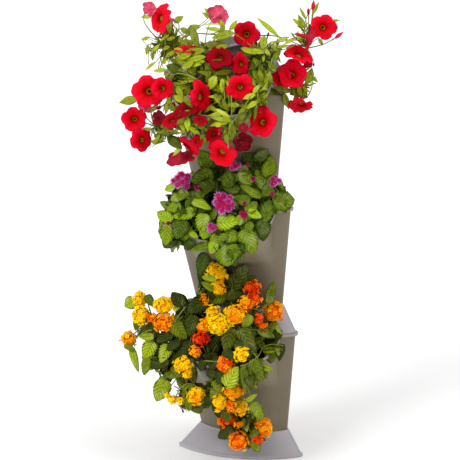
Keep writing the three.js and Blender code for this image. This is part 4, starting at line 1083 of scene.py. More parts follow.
# How each kind grows: its leaves' outline by the powers of base and tip, the depth of their teeth, their
# rings and their fold; how many sprigs a clump has and how many leaves sit on each, alone or in pairs; their
# length, width, opening from the sprig, droop and shade, a base tone that paints filler leaves darker as
# painted shade; how far sprigs reach in their clump; how near in pixels to a shown leaf they stay; and the
# radius of stems, with what widens it in the last two steps below a bloom
GROWTH = {
    "petunia": {
        "base": 1.0, "tip": 1.2, "teeth": 0.0, "rows": 8, "fold": 0.3, "sprigs": 34, "nodes": 6,
        "pair": 1, "length": 0.032, "width": 0.0047, "open": 0.95, "droop": 0.22, "shade": 0.25,
        "reach": (0.5, 0.92), "near": (8, 1.5), "stem": 0.0008, "calyx": (1.7, 1.5),
    },
    "ageratum": {
        "base": 0.44, "tip": 0.8, "teeth": 0.05, "rows": 15, "fold": 0.12, "sprigs": 24, "nodes": 2,
        "pair": 2, "length": 0.036, "width": 0.0150, "open": 1.15, "droop": 0.3, "shade": 0.2,
        "reach": (0.35, 0.8), "near": (1.5, 0), "stem": 0.0011, "calyx": (1, 1),
    },
    "lantana": {
        "base": 0.42, "tip": 0.82, "teeth": 0.05, "rows": 15, "fold": 0.16, "sprigs": 24, "nodes": 2,
        "pair": 2, "length": 0.036, "width": 0.0145, "open": 1.15, "droop": 0.3, "shade": 0.12,
        "reach": (0.35, 0.85), "near": (5, 0), "stem": 0.0012, "calyx": (1, 1),
    },
}
# Colours as they are seen: of stems, green and brown, and of leaves, deep, bright and at the veins, which
# also paints their sheen; then the leaves' gloss and quilting
GREENS = {
    "petunia": ((134, 150, 30), (96, 90, 28), (74, 84, 2), (192, 208, 36), (226, 232, 120), 0.08, 0.4),
    "ageratum": ((96, 112, 26), (88, 66, 28), (48, 68, 0), (166, 198, 24), (214, 222, 150), 0.06, 1.0),
    "lantana": ((122, 134, 40), (92, 72, 30), (52, 62, 2), (170, 188, 26), (206, 214, 132), 0.08, 1.2),
}
LEAF_SIDES = np.array([-1, -0.5, 0, 0.5, 1, 0.5, 0, -0.5])
LEAF_UNDER = np.array([0, 0, 0, 0, 0, 1, 1, 1])
LEAF_THICKNESS = 0.0005
LEAF_RIPPLES = 3.2
# A trumpet's reach and height from the tube's base to the rim, in shares of its radius
TRUMPET_REACH = np.array([0.07, 0.09, 0.11, 0.15, 0.26, 0.45, 0.65, 0.82, 0.94, 1.0])
TRUMPET_LIFT = np.array([-1.15, -0.8, -0.5, -0.3, -0.16, -0.07, -0.02, 0.0, -0.01, -0.045])
TUBE_WALL = 0.035
BUD_PLACE = (0.7, 1.3)  # buds show the colour of the petals' backs
TUFT_RADIUS = 0.0094
THREADS = 150
THREAD_RADIUS = 0.00055
FLORET_RADIUS = 0.0052
# A floret's rings from its tube to its heart: reach and height in shares of its radius
FLORET_SECTION = np.array([(0.16, -1.6), (0.2, -0.35), (0.62, -0.12), (1.0, 0.0), (0.6, 0.02), (0.14, -0.12)])
FLORET_PLACES = np.array([0, 0.2, 0.6, 1.0, 0.6, 0.14])
CUSHION_PLACE = (0.5, 0.22)


def tier_of(plant):
    word = plant.split("_")[0]
    return "upper" if word == "neck" else word


def share_points(rows, tier):
    """Places given in shares of the span, the lip's reach and the pitch, above the tier's rim."""
    across, front, up = np.moveaxis(np.asarray(rows, float), -1, 0)
    places = (across * RIM[0], BACK_CORNER_Y - front * LIP_REACH, RIM_HEIGHT[tier] + up * TIER_PITCH)
    return np.stack(places, -1)


def clump_bodies(plant):
    """The middles and the radii of a plant's clumps, each an egg-shaped body."""
    clumps = np.array(CLUMPS[plant])
    return share_points(clumps[:, :3], tier_of(plant)), RIM[0] * clumps[:, [3, 3, 4]] * (1, CLUMP_DEPTH, 1)


def pot_state(points, room):
    """Where points stand: 0 free outside every pot, 1 free inside one above its soil, 2 in or near plastic or
    soil."""
    state = np.zeros(points.shape[:-1], int)
    for rim_height in (0, *RIM_HEIGHT.values()):
        height = points[..., 2] - rim_height
        flared = np.clip(-height / POT_HEIGHT, 0, 1)[..., None]
        covered = np.clip(height / SKIRT_RISE, 0, 1)[..., None]
        outline = POT_RIM + (NECK - POT_RIM) * flared + (SKIRT_TOP - POT_RIM) * covered
        span, middle, shift = np.moveaxis(outline, -1, 0)
        x, y = points[..., 0], BACK_CORNER_Y - shift - points[..., 1]
        turn, away = np.arctan2(x, np.maximum(y, 1e-6)), np.hypot(x, y)
        lip = lip_height(turn)
        reach = span - (span - middle) * np.cos(2 * np.clip(turn, -WING_TURN, WING_TURN))
        behind = np.maximum(np.abs(turn) - WING_TURN, 0) * away
        off = np.maximum(away - reach - bay_swell(turn, np.minimum(height, lip), 0), behind)
        in_pot = (height > -POT_HEIGHT - SOCKET_DEPTH) & (height < lip + room)
        wall = in_pot & (off > -room - WALL) & (off < room)
        deep = in_pot & (off < room) & (height < -SOIL_DROP)
        cup = in_pot & (off <= -room) & (height >= -SOIL_DROP)
        in_skirt = (height > -SEAT_DEPTH) & (height < SKIRT_RISE + room)
        skirt = in_skirt & (away < reach + room) & (behind < room)
        state = np.where(wall | deep | skirt, 2, np.where(cup & (state == 0), 1, state))
    return state


def tower_reach(rays):
    """How far rays go from the camera before they meet plastic or soil, and infinity where they miss."""
    steps = VIEW_DISTANCE + np.arange(-RAY_ROOM, RAY_ROOM, RAY_STEP)
    met = pot_state(VIEW_EYE + rays[:, None] * steps[:, None], 0.001) == 2
    return np.where(met.any(1), steps[met.argmax(1)], np.inf)


def clump_reach(rays, plant):
    """How far rays go before they meet one of the plant's clumps, and whether they do. A ray that misses them
    all stops beside the one that it passes closest to."""
    middles, radii = clump_bodies(plant)
    start, way = (VIEW_EYE - middles) / radii, rays[:, None] / radii
    a, b, c = (way**2).sum(-1), (start * way).sum(-1), (start**2).sum(-1) - 1
    inside = b**2 - a * c
    reach = (-b - np.sqrt(np.maximum(inside, 0))) / a
    off = np.where(inside > 0, reach - 100, c - b**2 / a)  # clumps that are met come before all others
    best = np.argmin(off, 1)[:, None]
    return np.take_along_axis(reach, best, 1)[:, 0], (inside > 0).any(1)


def clump_places(pixels, plant, depth):
    """Points on the photograph's rays at the plant's nearest clump, and in front of the tower's walls."""
    rays = pixel_rays(*pixels.T)
    reach = np.minimum(clump_reach(rays, plant)[0] + depth, tower_reach(rays) - LEAF_ROOM)
    return VIEW_EYE + rays * reach[:, None]


def bloom_places(plant, rows):
    """Middles of blooms whose rows start with a pixel's place and the depth in front of the back corner, in
    millimetres. None stands deeper than the surface of a clump on its ray, or behind the tower's walls."""
    x, y, depth = np.array([row[:3] for row in rows], float).T
    rays = pixel_rays(x, y)
    given = (BACK_CORNER_Y - depth * 0.001 - VIEW_EYE[1]) / rays[:, 1]
    clump, met = clump_reach(rays, plant)
    reach = np.minimum(given, np.where(met, clump - BLOOM_ROOM, np.inf))
    reach = np.minimum(reach, tower_reach(rays) - LEAF_ROOM - BLOOM_ROOM)
    return VIEW_EYE + rays * reach[:, None]


def all_blooms():
    """The middles of every plant's blooms and their radii in pixels."""
    tables = (PETUNIAS, AGERATUMS, LANTANAS)
    middles = [bloom_places(plant, rows) for table in tables for plant, rows in table.items()]
    radii = [row[3] for rows in PETUNIAS.values() for row in rows]
    radii += [row[3] + 4 for rows in AGERATUMS.values() for row in rows]
    radii += [max(row[3], row[4]) / 2 + 1 for rows in LANTANAS.values() for row in rows]
    return np.concatenate(middles), np.array(radii)


def pixels_of(points):
    """Where points stand in the photograph, and how far they are from its camera."""
    off = points - VIEW_EYE
    away = -(off @ VIEW_BACK)
    pixels = np.stack([off @ VIEW_RIGHT, -(off @ VIEW_UP)], -1) / away[..., None] * VIEW_FOCAL + AIM_PIXEL
    return pixels, away


def off_blooms(points, blooms):
    """How many pixels points stand off the middle of each bloom, and how far before it they are."""
    (place, away), (bloom, bloom_away) = pixels_of(points), pixels_of(blooms[0])
    return np.linalg.norm(place[..., None, :] - bloom, axis=-1), bloom_away - away[..., None]


def off_shown(points, plant):
    """How many pixels points stand off the leaves that the photograph shows, each a bar of its width."""
    shown = np.array(SHOWN_LEAVES[plant], float)
    place, start, way = pixels_of(points)[0][:, None], shown[:, :2], shown[:, 2:4] - shown[:, :2]
    share = np.clip(((place - start) * way).sum(-1) / (way**2).sum(-1), 0, 1)
    return (np.linalg.norm(place - start - share[..., None] * way, axis=-1) - shown[:, 4] / 2).min(1)


def stays_clear(points, plant, near, blooms):
    """Whether points of filler leaves hide neither a bloom nor a leaf that the photograph shows, and stand
    close to such a leaf: within near[0] pixels before the tower's walls, and near[1] before the open
    background."""
    rays, away = unit(points - VIEW_EYE), np.linalg.norm(points - VIEW_EYE, axis=-1)
    apart, before = off_blooms(points, blooms)
    hides_bloom = ((apart < blooms[1]) & (before > -BLOOM_COVER)).any(1)
    off = off_shown(points, plant)
    limit = np.where(np.isfinite(tower_reach(rays)), *near)
    behind = away > clump_reach(rays, plant)[0] + LEAF_SINK
    return ~hides_bloom & (off < limit) & (behind | (off > 0))


def behind_blooms(paths, blooms):
    """Paths (N, S, 3) whose inner points go behind the blooms that they would cross in the photograph."""
    apart, before = off_blooms(paths, blooms)
    short = np.where(apart < 1.1 * blooms[1], before + STEM_SINK, 0).max(-1)
    short[:, [0, -1]] = 0
    return paths - np.maximum(short, 0)[..., None] * VIEW_BACK


def softened(paths):
    """Paths with their inner points drawn towards their neighbours' means, four times over."""
    for _ in range(4):
        paths[:, 1:-1] = paths[:, 1:-1] / 2 + (paths[:, :-2] + paths[:, 2:]) / 4
    return paths


def bent_paths(start, bend, end, steps):
    """Points of quadratic curves, whose starts, bends and ends are (N, 3): (N, steps + 1, 3)."""
    return along_bend(start[:, None], bend[:, None], end[:, None], np.linspace(0, 1, steps + 1))


def add_tubes(surface, paths, radii, sides, tones=0, places=None):
    """Closed tubes along paths (N, S, 3): circles square to the path, of one radius or one for each step."""
    turn = frames(np.gradient(paths, axis=1), least_axes(paths[:, -1] - paths[:, 0])[:, None])
    spread = circle(sides) @ turn[..., [2, 0]].swapaxes(-1, -2)
    rings = paths[:, :, None] + np.broadcast_to(radii, paths.shape[:2])[..., None, None] * spread
    places = even_places(paths.shape[1], sides) if places is None else places
    surface.add_rings(rings, places, tones, paths[:, [0, -1]])


def turned(local, turn, middles):
    """Forms of rings (N, R, C, 3), turned by their frames and moved to their middles."""
    return np.einsum("nij,nrcj->nrci", turn, local) + middles[:, None, None]


def add_leaves(surface, kind, base, along, face, length, width, droop, curl, tones):
    """Closed thin leaves from their bases: a blade that folds up from its midrib, droops along its length as
    droop * s**2 and ripples at its rim, its underside joined to the same rim. Its half width is
    s**base * (1 - s)**tip, scaled to the given width where it is widest."""
    form = GROWTH[kind]
    s = np.linspace(0, 1, form["rows"] + 2)[1:-1, None]
    half = s ** form["base"] * (1 - s) ** form["tip"]
    teeth = 1 + form["teeth"] * np.where(np.arange(len(s)) % 2, 1, -1)[:, None] * (np.abs(LEAF_SIDES) == 1)
    reach = LEAF_SIDES * (half / half.max()) * teeth
    length, width, droop, curl = (values[:, None, None] for values in (length, width, droop, curl))
    lift = form["fold"] * np.abs(reach) * (1 - 0.5 * s) + curl * np.sin(LEAF_RIPPLES * math.pi * s) * reach**2
    z = width * lift - droop * length * s**2 - LEAF_THICKNESS * LEAF_UNDER
    local = np.stack([width * reach, np.broadcast_to(length * s, z.shape), z], -1)
    turn = frames(along, face)
    tips = base + length[:, 0] * (turn[..., 1] - droop[:, 0] * turn[..., 2])
    places = ring_places(0.5 + 0.5 * LEAF_SIDES, s[:, 0], ((0.5, 0), (0.5, 1)))
    surface.add_rings(turned(local, turn, base), places, tones, np.stack([base, tips], 1))


def shoot_paths(crown, middles, tier):
    """Ways from the crown to the middle of each clump: over the lip where the clump hangs outside it."""
    back, paths = np.array([0, BACK_CORNER_Y]), []
    for middle in middles:
        flat = middle[:2] - back
        turn = math.atan2(flat[0], -flat[1])
        reach = RIM[0] - (RIM[0] - RIM[1]) * math.cos(2 * turn) + BAY_REACH * bay_share(turn)
        stops = [crown, (crown + middle) / 2 + (0, 0, 0.015), middle]
        if middle[2] < crown[2] and np.linalg.norm(flat) > reach - SHOOT_ROOM:
            height = RIM_HEIGHT[tier] + lip_height(turn) + 0.014
            over = np.append(unit(flat) * (reach + SHOOT_ROOM) + back, height)
            stops = [crown, (crown + over) / 2 + (0, 0, 0.012), over, (over + middle) / 2, middle]
        shares, fine = np.linspace(0, 1, len(stops)), np.linspace(0, 1, len(SHOOT_RADII))
        paths.append(np.stack([np.interp(fine, shares, axis) for axis in np.transpose(stops)], -1))
    return softened(np.array(paths))


def spiral_directions(count, spread=math.pi, turn=0.0):
    """Directions spread evenly by the golden angle over a dome round +Z, out to the spread from its axis."""
    i = np.arange(count) + 0.5
    rise = 1 - (1 - math.cos(spread)) * i / count
    angle = GOLDEN_TURN * i + turn
    level = np.sqrt(np.maximum(1 - rise**2, 0))
    return np.stack([level * np.cos(angle), level * np.sin(angle), rise], -1)


def clump_middles(plant):
    """The middles of a plant's clumps. One that lies in plastic or soil comes forward out of it."""
    steps = np.arange(0, RIM[0] / 2, WALL)[:, None] * (0, 1, 0)
    tried = clump_bodies(plant)[0][:, None] - steps
    free = pot_state(tried, LEAF_ROOM / 2) < 2
    return tried[np.arange(len(tried)), free.argmax(1)]


def clump_sprigs(middle, radii, kind, rng):
    """Sprigs of one clump as curves (N, 3, 3) from its middle to near its surface, bowed upwards at first."""
    form = GROWTH[kind]
    ways = radii * spiral_directions(form["sprigs"], turn=rng.uniform(0, 6.28))
    ends = middle + ways * rng.uniform(*form["reach"], (len(ways), 1))
    bends = middle + ways * 0.45 + (0, 0, 0.010) + rng.normal(0, 0.004, ways.shape)
    return np.stack([np.broadcast_to(middle, ends.shape), bends, ends], 1)


def sprig_leaves(curves, scale, kind, rng):
    """Leaves along curves, of each curve's scale: alternate by the golden angle, or in crossed pairs, and one
    at each tip. Gives their bases, ways, faces and sizes."""
    form = GROWTH[kind]
    shares = np.linspace(0.35, 0.93, form["nodes"])
    start, bend, end = (curves[:, i, None] for i in range(3))
    place, t = along_bend(start, bend, end, shares), shares[:, None]
    along = unit(2 * (1 - t) * (bend - start) + 2 * t * (end - bend))
    side, other = (way[:, :, None] for way in square_to(along))
    along = along[:, :, None]
    next_turn = 2.4 if form["pair"] == 1 else math.pi / 2
    angles = rng.uniform(0, 6.28, (len(curves), 1, 1)) + next_turn * np.arange(len(shares))[:, None]
    angles = angles + np.array([0, math.pi])[:form["pair"]]
    out = np.cos(angles)[..., None] * side + np.sin(angles)[..., None] * other
    opening = form["open"] + rng.normal(0, 0.18, angles.shape)[..., None]
    ways = np.cos(opening) * along + np.sin(opening) * out
    faces = np.sin(opening) * along - np.cos(opening) * out
    bases = np.broadcast_to(place[:, :, None], ways.shape)
    size = np.broadcast_to(scale[:, None, None] * (1.05 - 0.35 * t), ways.shape[:3])
    tips = unit(curves[:, 2] - curves[:, 1])
    upward = np.cross(np.cross(tips, DAYLIGHT), tips)
    bases, ways, faces = (
        np.concatenate([first.reshape(-1, 3), last])
        for first, last in ((bases, curves[:, 2]), (ways, tips), (faces, upward))
    )
    faces = unit(0.55 * unit(faces) + 0.75 * unit(DAYLIGHT) + rng.normal(0, 0.22, faces.shape))
    return bases, ways, faces, np.concatenate([size.ravel(), 0.8 * scale])


def add_filler_leaves(surface, plant, kind, middles, blooms, rng):
    """A plant's leaves on sprigs, but those that would meet plastic or soil, leave the solids' box, or hide
    what the photograph shows. Gives the sprigs that keep a leaf."""
    form, clumps = GROWTH[kind], np.array(CLUMPS[plant])
    bodies = zip(middles, clump_bodies(plant)[1])
    curves = np.concatenate([clump_sprigs(middle, radii, kind, rng) for middle, radii in bodies])
    bases, ways, faces, size = sprig_leaves(curves, np.repeat(clumps[:, 5], form["sprigs"]), kind, rng)
    length = form["length"] * size * rng.uniform(0.8, 1.2, len(size))
    width = form["width"] * size * rng.uniform(0.8, 1.2, len(size))
    droop = form["droop"] * rng.uniform(0.3, 1.6, len(size))
    tips = bases + unit(ways) * length[:, None]
    tips[:, 2] -= droop * length * 0.8
    halfway = (bases + tips) / 2
    spots = (bases, halfway, tips)
    states = np.stack([pot_state(place, WALL + width / 3) for place in spots])
    kept = (states.max(0) < 2) & (states.min(0) == states.max(0)) & (tips[:, 2] > FLOOR_ROOM)
    low, high = (np.array(corner) for corner in SOLIDS_BOX)
    kept &= ((tips > low - BOX_ROOM) & (tips < high + BOX_ROOM)).all(-1)
    for place in spots:
        kept &= stays_clear(place, plant, form["near"], blooms)
    # Leaves further inside their clump take a darker tone than the ones at its outside: painted shade
    inner = np.linalg.norm((halfway[:, None] - middles) / (RIM[0] * clumps[:, 3:4]), axis=-1).min(1)
    tones = np.clip(form["shade"] + 0.5 * (inner - 0.35) + rng.normal(0, 0.2, len(inner)), 0, 1)
    pick = [values[kept] for values in (bases, ways, faces, length, width, droop)]
    add_leaves(surface, kind, *pick, rng.uniform(-0.25, 0.35, kept.sum()), tones[kept])
    leafy = kept[:-len(curves)].reshape(len(curves), -1).any(1) | kept[-len(curves):]
    walled = (pot_state(bent_paths(*curves.swapaxes(0, 1), 6), WALL) == 2).any(1)
    return curves[leafy & ~walled]


def add_shown_leaves(surface, plant, kind, rng):
    """The leaves that the photograph shows. Gives where they start and where they lead."""
    shown = np.array(SHOWN_LEAVES[plant], float)
    span = np.linalg.norm(shown[:, 2:4] - shown[:, :2], axis=-1) * PIXEL
    starts = clump_places(shown[:, :2], plant, 0.002)
    ends = clump_places(shown[:, 2:4], plant, -0.003)
    lean = (ends - starts) @ VIEW_BACK
    starts = starts + np.maximum(lean - MAX_LEAN * span, 0)[:, None] * VIEW_BACK
    ends = ends + np.maximum(-MAX_LEAN * span - lean, 0)[:, None] * VIEW_BACK
    ways = ends - starts
    face = unit(VIEW_BACK + (0, 0, 0.35) + rng.normal(0, 0.22, starts.shape))
    length, width = np.linalg.norm(ways, axis=-1), shown[:, 4] / 2 * PIXEL
    droop, curl = rng.uniform(0.02, 0.16, len(shown)), rng.uniform(-0.2, 0.3, len(shown))
    add_leaves(surface, kind, starts, ways, face, length, width, droop, curl, shown[:, 5])
    return starts, ways


def plant_greens(plant, kind, targets, blooms):
    """A plant's stems and leaves: a trunk, shoots, sprigs and stalks to the leaves that the photograph shows
    and to the targets, its blooms' ends. All keep behind the blooms, given as their middles and their radii
    in pixels, as the photograph's camera sees them."""
    tier = tier_of(plant)
    rng = np.random.default_rng(sum(ord(letter) * (7 + i) for i, letter in enumerate(plant)))
    across, front, up = NECK_CROWN if plant.startswith("neck") else BAY_CROWN
    crown = share_points((-across if "left" in plant else across, front, up), tier)
    foot = np.array([crown[0], crown[1], RIM_HEIGHT[tier] - SOIL_DROP - TRUNK_SINK])
    middles = clump_middles(plant)
    stems, leaves = Surface(), Surface()

    def nearest_middles(points):
        return middles[np.argmin(np.linalg.norm(points[:, None] - middles, axis=-1), 1)]

    def add_stalks(start, bend, end, shares, sides):
        paths = softened(behind_blooms(bent_paths(start, bend, end, len(shares) - 1), blooms))
        add_tubes(stems, paths, shares * GROWTH[kind]["stem"], sides)

    add_tubes(stems, (np.linspace(foot, crown, 5) + TRUNK_SWAY)[None], TRUNK_RADIUS, 10)
    add_tubes(stems, shoot_paths(crown, middles, tier), SHOOT_RADII, 8)
    sprigs = add_filler_leaves(leaves, plant, kind, middles, blooms, rng)
    starts, ways = add_shown_leaves(leaves, plant, kind, rng)
    near = nearest_middles(starts)
    add_stalks(near, (near + starts) / 2 - ways * 0.3, starts + ways * 0.06, np.linspace(1.2, 0.8, 8), 5)
    drawn = np.array(SHOWN_STEMS[plant], float)
    corners = [clump_places(drawn[:, i:i + 2], plant, -0.004) for i in (0, 2, 4)]
    add_tubes(stems, bent_paths(*corners, 9), drawn[:, 6:] / 2 * PIXEL, 6)
    add_stalks(*sprigs.swapaxes(0, 1), np.linspace(1.3, 0.6, 7), 5)
    neck, way = targets[:, 0], targets[:, 1]
    near = nearest_middles(neck)
    reach = np.linalg.norm(neck - near, axis=-1, keepdims=True)
    shares = np.linspace(1.5, 0.9, 10) * np.append(np.ones(8), GROWTH[kind]["calyx"])
    add_stalks(near, neck - way * reach * 0.45, neck, shares, 6)
    return stems, leaves


def add_petunias(surface, plant, rows, rng):
    """Five-lobed trumpets, and the plant's buds. Seen from the throat, a point at reach r and angle a stands
    radius * r * (1 + lobes * r**3) out. There lobes = 0.03 * cos(5 * a) - 0.11 * dip + 0.012 * cos(15 * a)
    and a little unevenness, with dip = 1 between two lobes. Its height is the funnel's and ruffles that grow
    as r**2.5. The rings run from the tube's base up the back to the rim and down the face into the throat."""
    centre = bloom_places(plant, rows)
    rows = np.array(rows, float)
    radius, facing = rows[:, 3:4] * PIXEL, toward(rows[:, 4], rows[:, 5])
    inward = slice(-2, None, -1)
    profile = np.append(TRUMPET_REACH + TUBE_WALL * (TRUMPET_REACH < 0.3), TRUMPET_REACH[inward])
    heights = np.append(TRUMPET_LIFT - 0.02, TRUMPET_LIFT[inward] + 0.012)
    mapped = np.append(2 - TRUMPET_REACH, TRUMPET_REACH[inward])
    spin = rng.uniform(0, 6.28, (len(rows), 1, 1))
    flop = rng.uniform(-0.12, 0.12, (len(rows), 1, 1))
    a, r = np.linspace(0, 2 * math.pi, 60, endpoint=False), profile[:, None]
    dip = np.exp(-((np.mod(5 * a / (2 * math.pi), 1) - 0.5) ** 2) / 0.02)
    uneven = 0.03 * np.cos(a + 3 * spin) + 0.03 * np.cos(2 * a - spin)
    lobes = 0.03 * np.cos(5 * a) - 0.11 * dip + uneven + 0.012 * np.cos(15 * a + spin)
    ruffle = 0.05 * np.cos(10 * a + spin) + 0.035 * np.cos(7 * a + 2 * spin) + 0.11 * np.cos(2 * a + spin)
    lift = heights[:, None] + (ruffle + flop - 0.05 * dip) * r**2.5 - 0.13 * r**5 * (1 - dip)
    out, height = radius[..., None] * r * (1 + lobes * r**3), radius[..., None] * lift
    local = np.stack([out * np.cos(a + spin), out * np.sin(a + spin), height], -1)
    turn = frames(np.cross(facing, np.cross((0.02, 0.03, 1.0), facing)) + 1e-6, facing)
    ends = np.stack([centre - facing * 1.2 * radius, centre - facing * 0.95 * radius], 1)
    places = ring_places(0.5 + 0.5 * np.cos(5 * a), mapped, ((0.5, 2), (0.5, 0)))
    surface.add_rings(turned(local, turn, centre), places, rows[:, 6], ends)
    stalks = np.stack([ends[:, 0] + facing * 0.1 * radius, facing], 1)
    return np.concatenate([stalks, add_buds(surface, plant)])


def add_buds(surface, plant):
    """A petunia's closed buds: spindles whose girth is sin(pi * s**0.7) along their length."""
    middle = bloom_places(plant, PETUNIA_BUDS[plant])
    rows = np.array(PETUNIA_BUDS[plant], float)
    length, way = rows[:, 3:4] * PIXEL, toward(rows[:, 4], rows[:, 5])
    base, s = middle - way * length / 2, np.linspace(0, 1, 9)
    girth = 0.19 * np.sin(math.pi * np.clip(s, 0.04, 0.97) ** 0.7)
    paths = base[:, None] + way[:, None] * (length * s)[..., None]
    add_tubes(surface, paths, length * girth, 10, rows[:, 6], BUD_PLACE)
    return np.stack([base + way * length * 0.06, way], 1)


def add_tufts(surface, plant, rows, rng):
    """Round tufts of fine threads on a small heart, gathered in a shallow dome on each head."""
    stalks = []
    facing = unit(VIEW_BACK + (0, 0, 0.5))
    turn = frames(np.cross(facing, (1, 0, 0.01)), facing)
    for middle, (_, _, _, radius, count) in zip(bloom_places(plant, rows), rows):
        ways = spiral_directions(count, 1.2) if count > 1 else np.array([[0, 0, 1.0]])
        centres = middle + (ways * (1, 1, 0.5) * radius * PIXEL) @ turn.T
        share = 1 if count > 5 else 0.75 if count > 2 else 0.55
        size = TUFT_RADIUS * rng.uniform(0.8, 1.1, (count, 1)) * share
        spikes = spiral_directions(THREADS, turn=rng.uniform(0, 6.28))
        wild = unit(spikes + rng.normal(0, 0.16, (count, THREADS, 3)))
        length = size * rng.uniform(0.8, 1.25, (count, THREADS))
        base = (centres[:, None] + wild * (0.35 * size)[..., None]).reshape(-1, 3)
        tip = (centres[:, None] + wild * length[..., None]).reshape(-1, 3)
        side, other = square_to(unit(tip - base))
        corners = [base + THREAD_RADIUS * (x * side + y * other) for x, y in circle(3)]
        # Threads that point at the viewer make a crimson heart, and the ones round it a lilac fringe
        fringe = np.sqrt(1 - (wild @ facing) ** 2) - 0.7 + rng.normal(0, 0.12, (count, 1))
        tones = np.array([0.3, 0.3, 0.3, 0.9]) - (0 if count > 3 else 0.45)
        tones = tones + 0.6 * fringe.reshape(-1, 1) + rng.normal(0, 0.1, (len(base), 1))
        surface.add(np.stack([*corners, tip], 1), (), ((0, 1, 3), (1, 2, 3), (2, 0, 3), (0, 2, 1)), 0, tones)
        s = np.linspace(-0.95, 0.95, 7)
        hearts = centres[:, None] + facing * (size * 0.6 * s)[..., None]
        add_tubes(surface, hearts, 0.6 * size * np.sqrt(1 - s**2), 9, 0.15)
        end = middle - facing * (0.004 + 0.4 * radius * PIXEL)
        joins = bent_paths(end[None], (centres + end) / 2 - facing * 0.001, centres, 4)
        add_tubes(surface, joins, 0.0007, 5, 0.1)
        stalks.append(np.stack([end, facing]))
    return np.array(stalks)


def add_florets(surface, plant, rows, rng):
    """Domes of four-lobed florets on narrow tubes that meet at the head of the stalk. A floret's rim stands
    radius * (0.76 + 0.24 * cos(4 * angle)) out."""
    stalks = []
    facing = unit(VIEW_BACK * 0.9 + (0, 0, 0.35))
    view = np.stack([VIEW_RIGHT, VIEW_UP, facing])
    angle = np.linspace(0, 2 * math.pi, 16, endpoint=False)
    shares, lifts = FLORET_SECTION.T[..., None]
    shape = shares * np.where(shares > 0.5, 0.76 + 0.24 * np.cos(4 * angle), 1.0)
    places = ring_places(angle / 6.3, FLORET_PLACES, ((0, 0), (0, 0)))
    for middle, (_, _, _, wide, high, ripe) in zip(bloom_places(plant, rows), rows):
        half = np.maximum(np.array([wide, high]) / 2 * PIXEL - 0.2 * FLORET_RADIUS, 0.002)
        depth = 0.75 * half.min() + 0.002
        ways = spiral_directions(int(4 + 1.5 * wide * high / 14), 1.5)
        ways = unit(ways + rng.normal(0, 0.11, ways.shape))
        heart = middle - depth * 0.5 * facing
        place = heart + (ways * (*half, depth)) @ view + rng.normal(0, 0.0019, ways.shape)
        look = unit(ways @ view)
        knot = middle - facing * (depth * 0.9 + 0.006)
        # A cushion of closed florets fills the gaps between the open ones
        s = np.linspace(-0.97, 0.97, 9)
        spine = heart + (0.86 * half.max() * s)[:, None] * (VIEW_UP if high > wide else VIEW_RIGHT)
        girth = 0.80 * min(half.min(), depth * 1.2) * np.sqrt(1 - s**2)
        add_tubes(surface, spine[None], girth, 14, ripe + 0.12, CUSHION_PLACE)
        radius = FLORET_RADIUS * rng.uniform(0.8, 1.3, (len(place), 1, 1))
        spin = rng.uniform(0, 6.28, (len(place), 1, 1))
        out, a = radius * shape, angle + spin
        lift = radius * (lifts + 0.08 * np.cos(2 * angle + spin) * (shares > 0.9))
        local = np.stack([out * np.cos(a), out * np.sin(a), lift], -1)
        axis = least_axes(look)
        turn = frames(axis - look * (axis * look).sum(-1, keepdims=True), look)
        ends = np.stack([np.broadcast_to(knot, place.shape), place - look * 0.3 * radius[:, 0]], 1)
        tones = ripe - 0.2 * (np.linalg.norm(ways[:, :2], axis=-1) - 0.5) + rng.normal(0, 0.12, len(place))
        surface.add_rings(turned(local, turn, place), places, np.clip(tones, 0, 1), ends)
        stalks.append(np.stack([knot + facing * 0.001, facing]))
    return np.array(stalks)


def grow(kind, table, petals, seed, add_blooms):
    """Grows a table's plants. Three pieces, of stems, leaves and blooms, stand for each plant's solid."""
    *colours, gloss, quilting = GREENS[kind]
    green, brown, *blade = (linear(*colour) for colour in colours)
    stem_look = stem_finish(kind + "_stems", green, brown)
    leaf_look = leaf_finish(kind + "_leaf", *blade, gloss, quilting)
    rng, blooms = np.random.default_rng(seed), all_blooms()
    for plant, rows in table.items():
        flowers = Surface()
        ends = add_blooms(flowers, plant, rows, rng)
        stems, leaves = plant_greens(plant, kind, ends, blooms)
        for surface, part, look, slot in (
            (stems, "_stems", stem_look, "_leaves"),
            (leaves, "_leaves", leaf_look, "_leaves"),
            (flowers, "_blooms", petals, "_blooms"),
        ):
            place_piece(surface.build(plant + part, look), tier_of(plant) + "_tier", kind + slot, plant)


class TowerColours(bpy.types.PropertyGroup):
    """Colours of the moulded plastic and of the petunias."""

    foot: bpy.props.FloatVectorProperty(
        name="Foot", description="Plastic of the foot", subtype="COLOR", min=0, max=1,
        default=linear(160, 155, 160),
    )
    pots: bpy.props.FloatVectorProperty(
        name="Pots", description="Plastic of the pots", subtype="COLOR", min=0, max=1,
        default=linear(118, 107, 83),
    )
    covers: bpy.props.FloatVectorProperty(
        name="Covers", description="Plastic of the covers", subtype="COLOR", min=0, max=1,
        default=linear(160, 155, 162),
    )
    # Worn edges and dust take this colour, and the edges' paler tone also paints a highlight
    worn: bpy.props.FloatVectorProperty(
        name="Worn edges", description="Plastic along edges and under dust", subtype="COLOR", min=0, max=1,
        default=linear(196, 190, 196),
    )
    petals: bpy.props.FloatVectorProperty(
        name="Petunias", description="Red of the petunias' petals", subtype="COLOR", min=0, max=1,
        default=linear(222, 2, 20),
    )


class TowerStage(bpy.types.PropertyGroup):
    """Light and floor."""

    sky: bpy.props.FloatProperty(
        name="Sky", description="Strength of the light from all round", default=0.78, min=0,
    )
    sun: bpy.props.FloatProperty(
        name="Sun", description="Strength of the soft key light", default=1.25, min=0,
    )
    fill: bpy.props.FloatProperty(
        name="Fill", description="Strength of the light from above", default=0.7, min=0,
    )
    floor: bpy.props.FloatProperty(
        name="Floor", description="Half width of the floor", default=9.0, min=1, unit="LENGTH",
    )


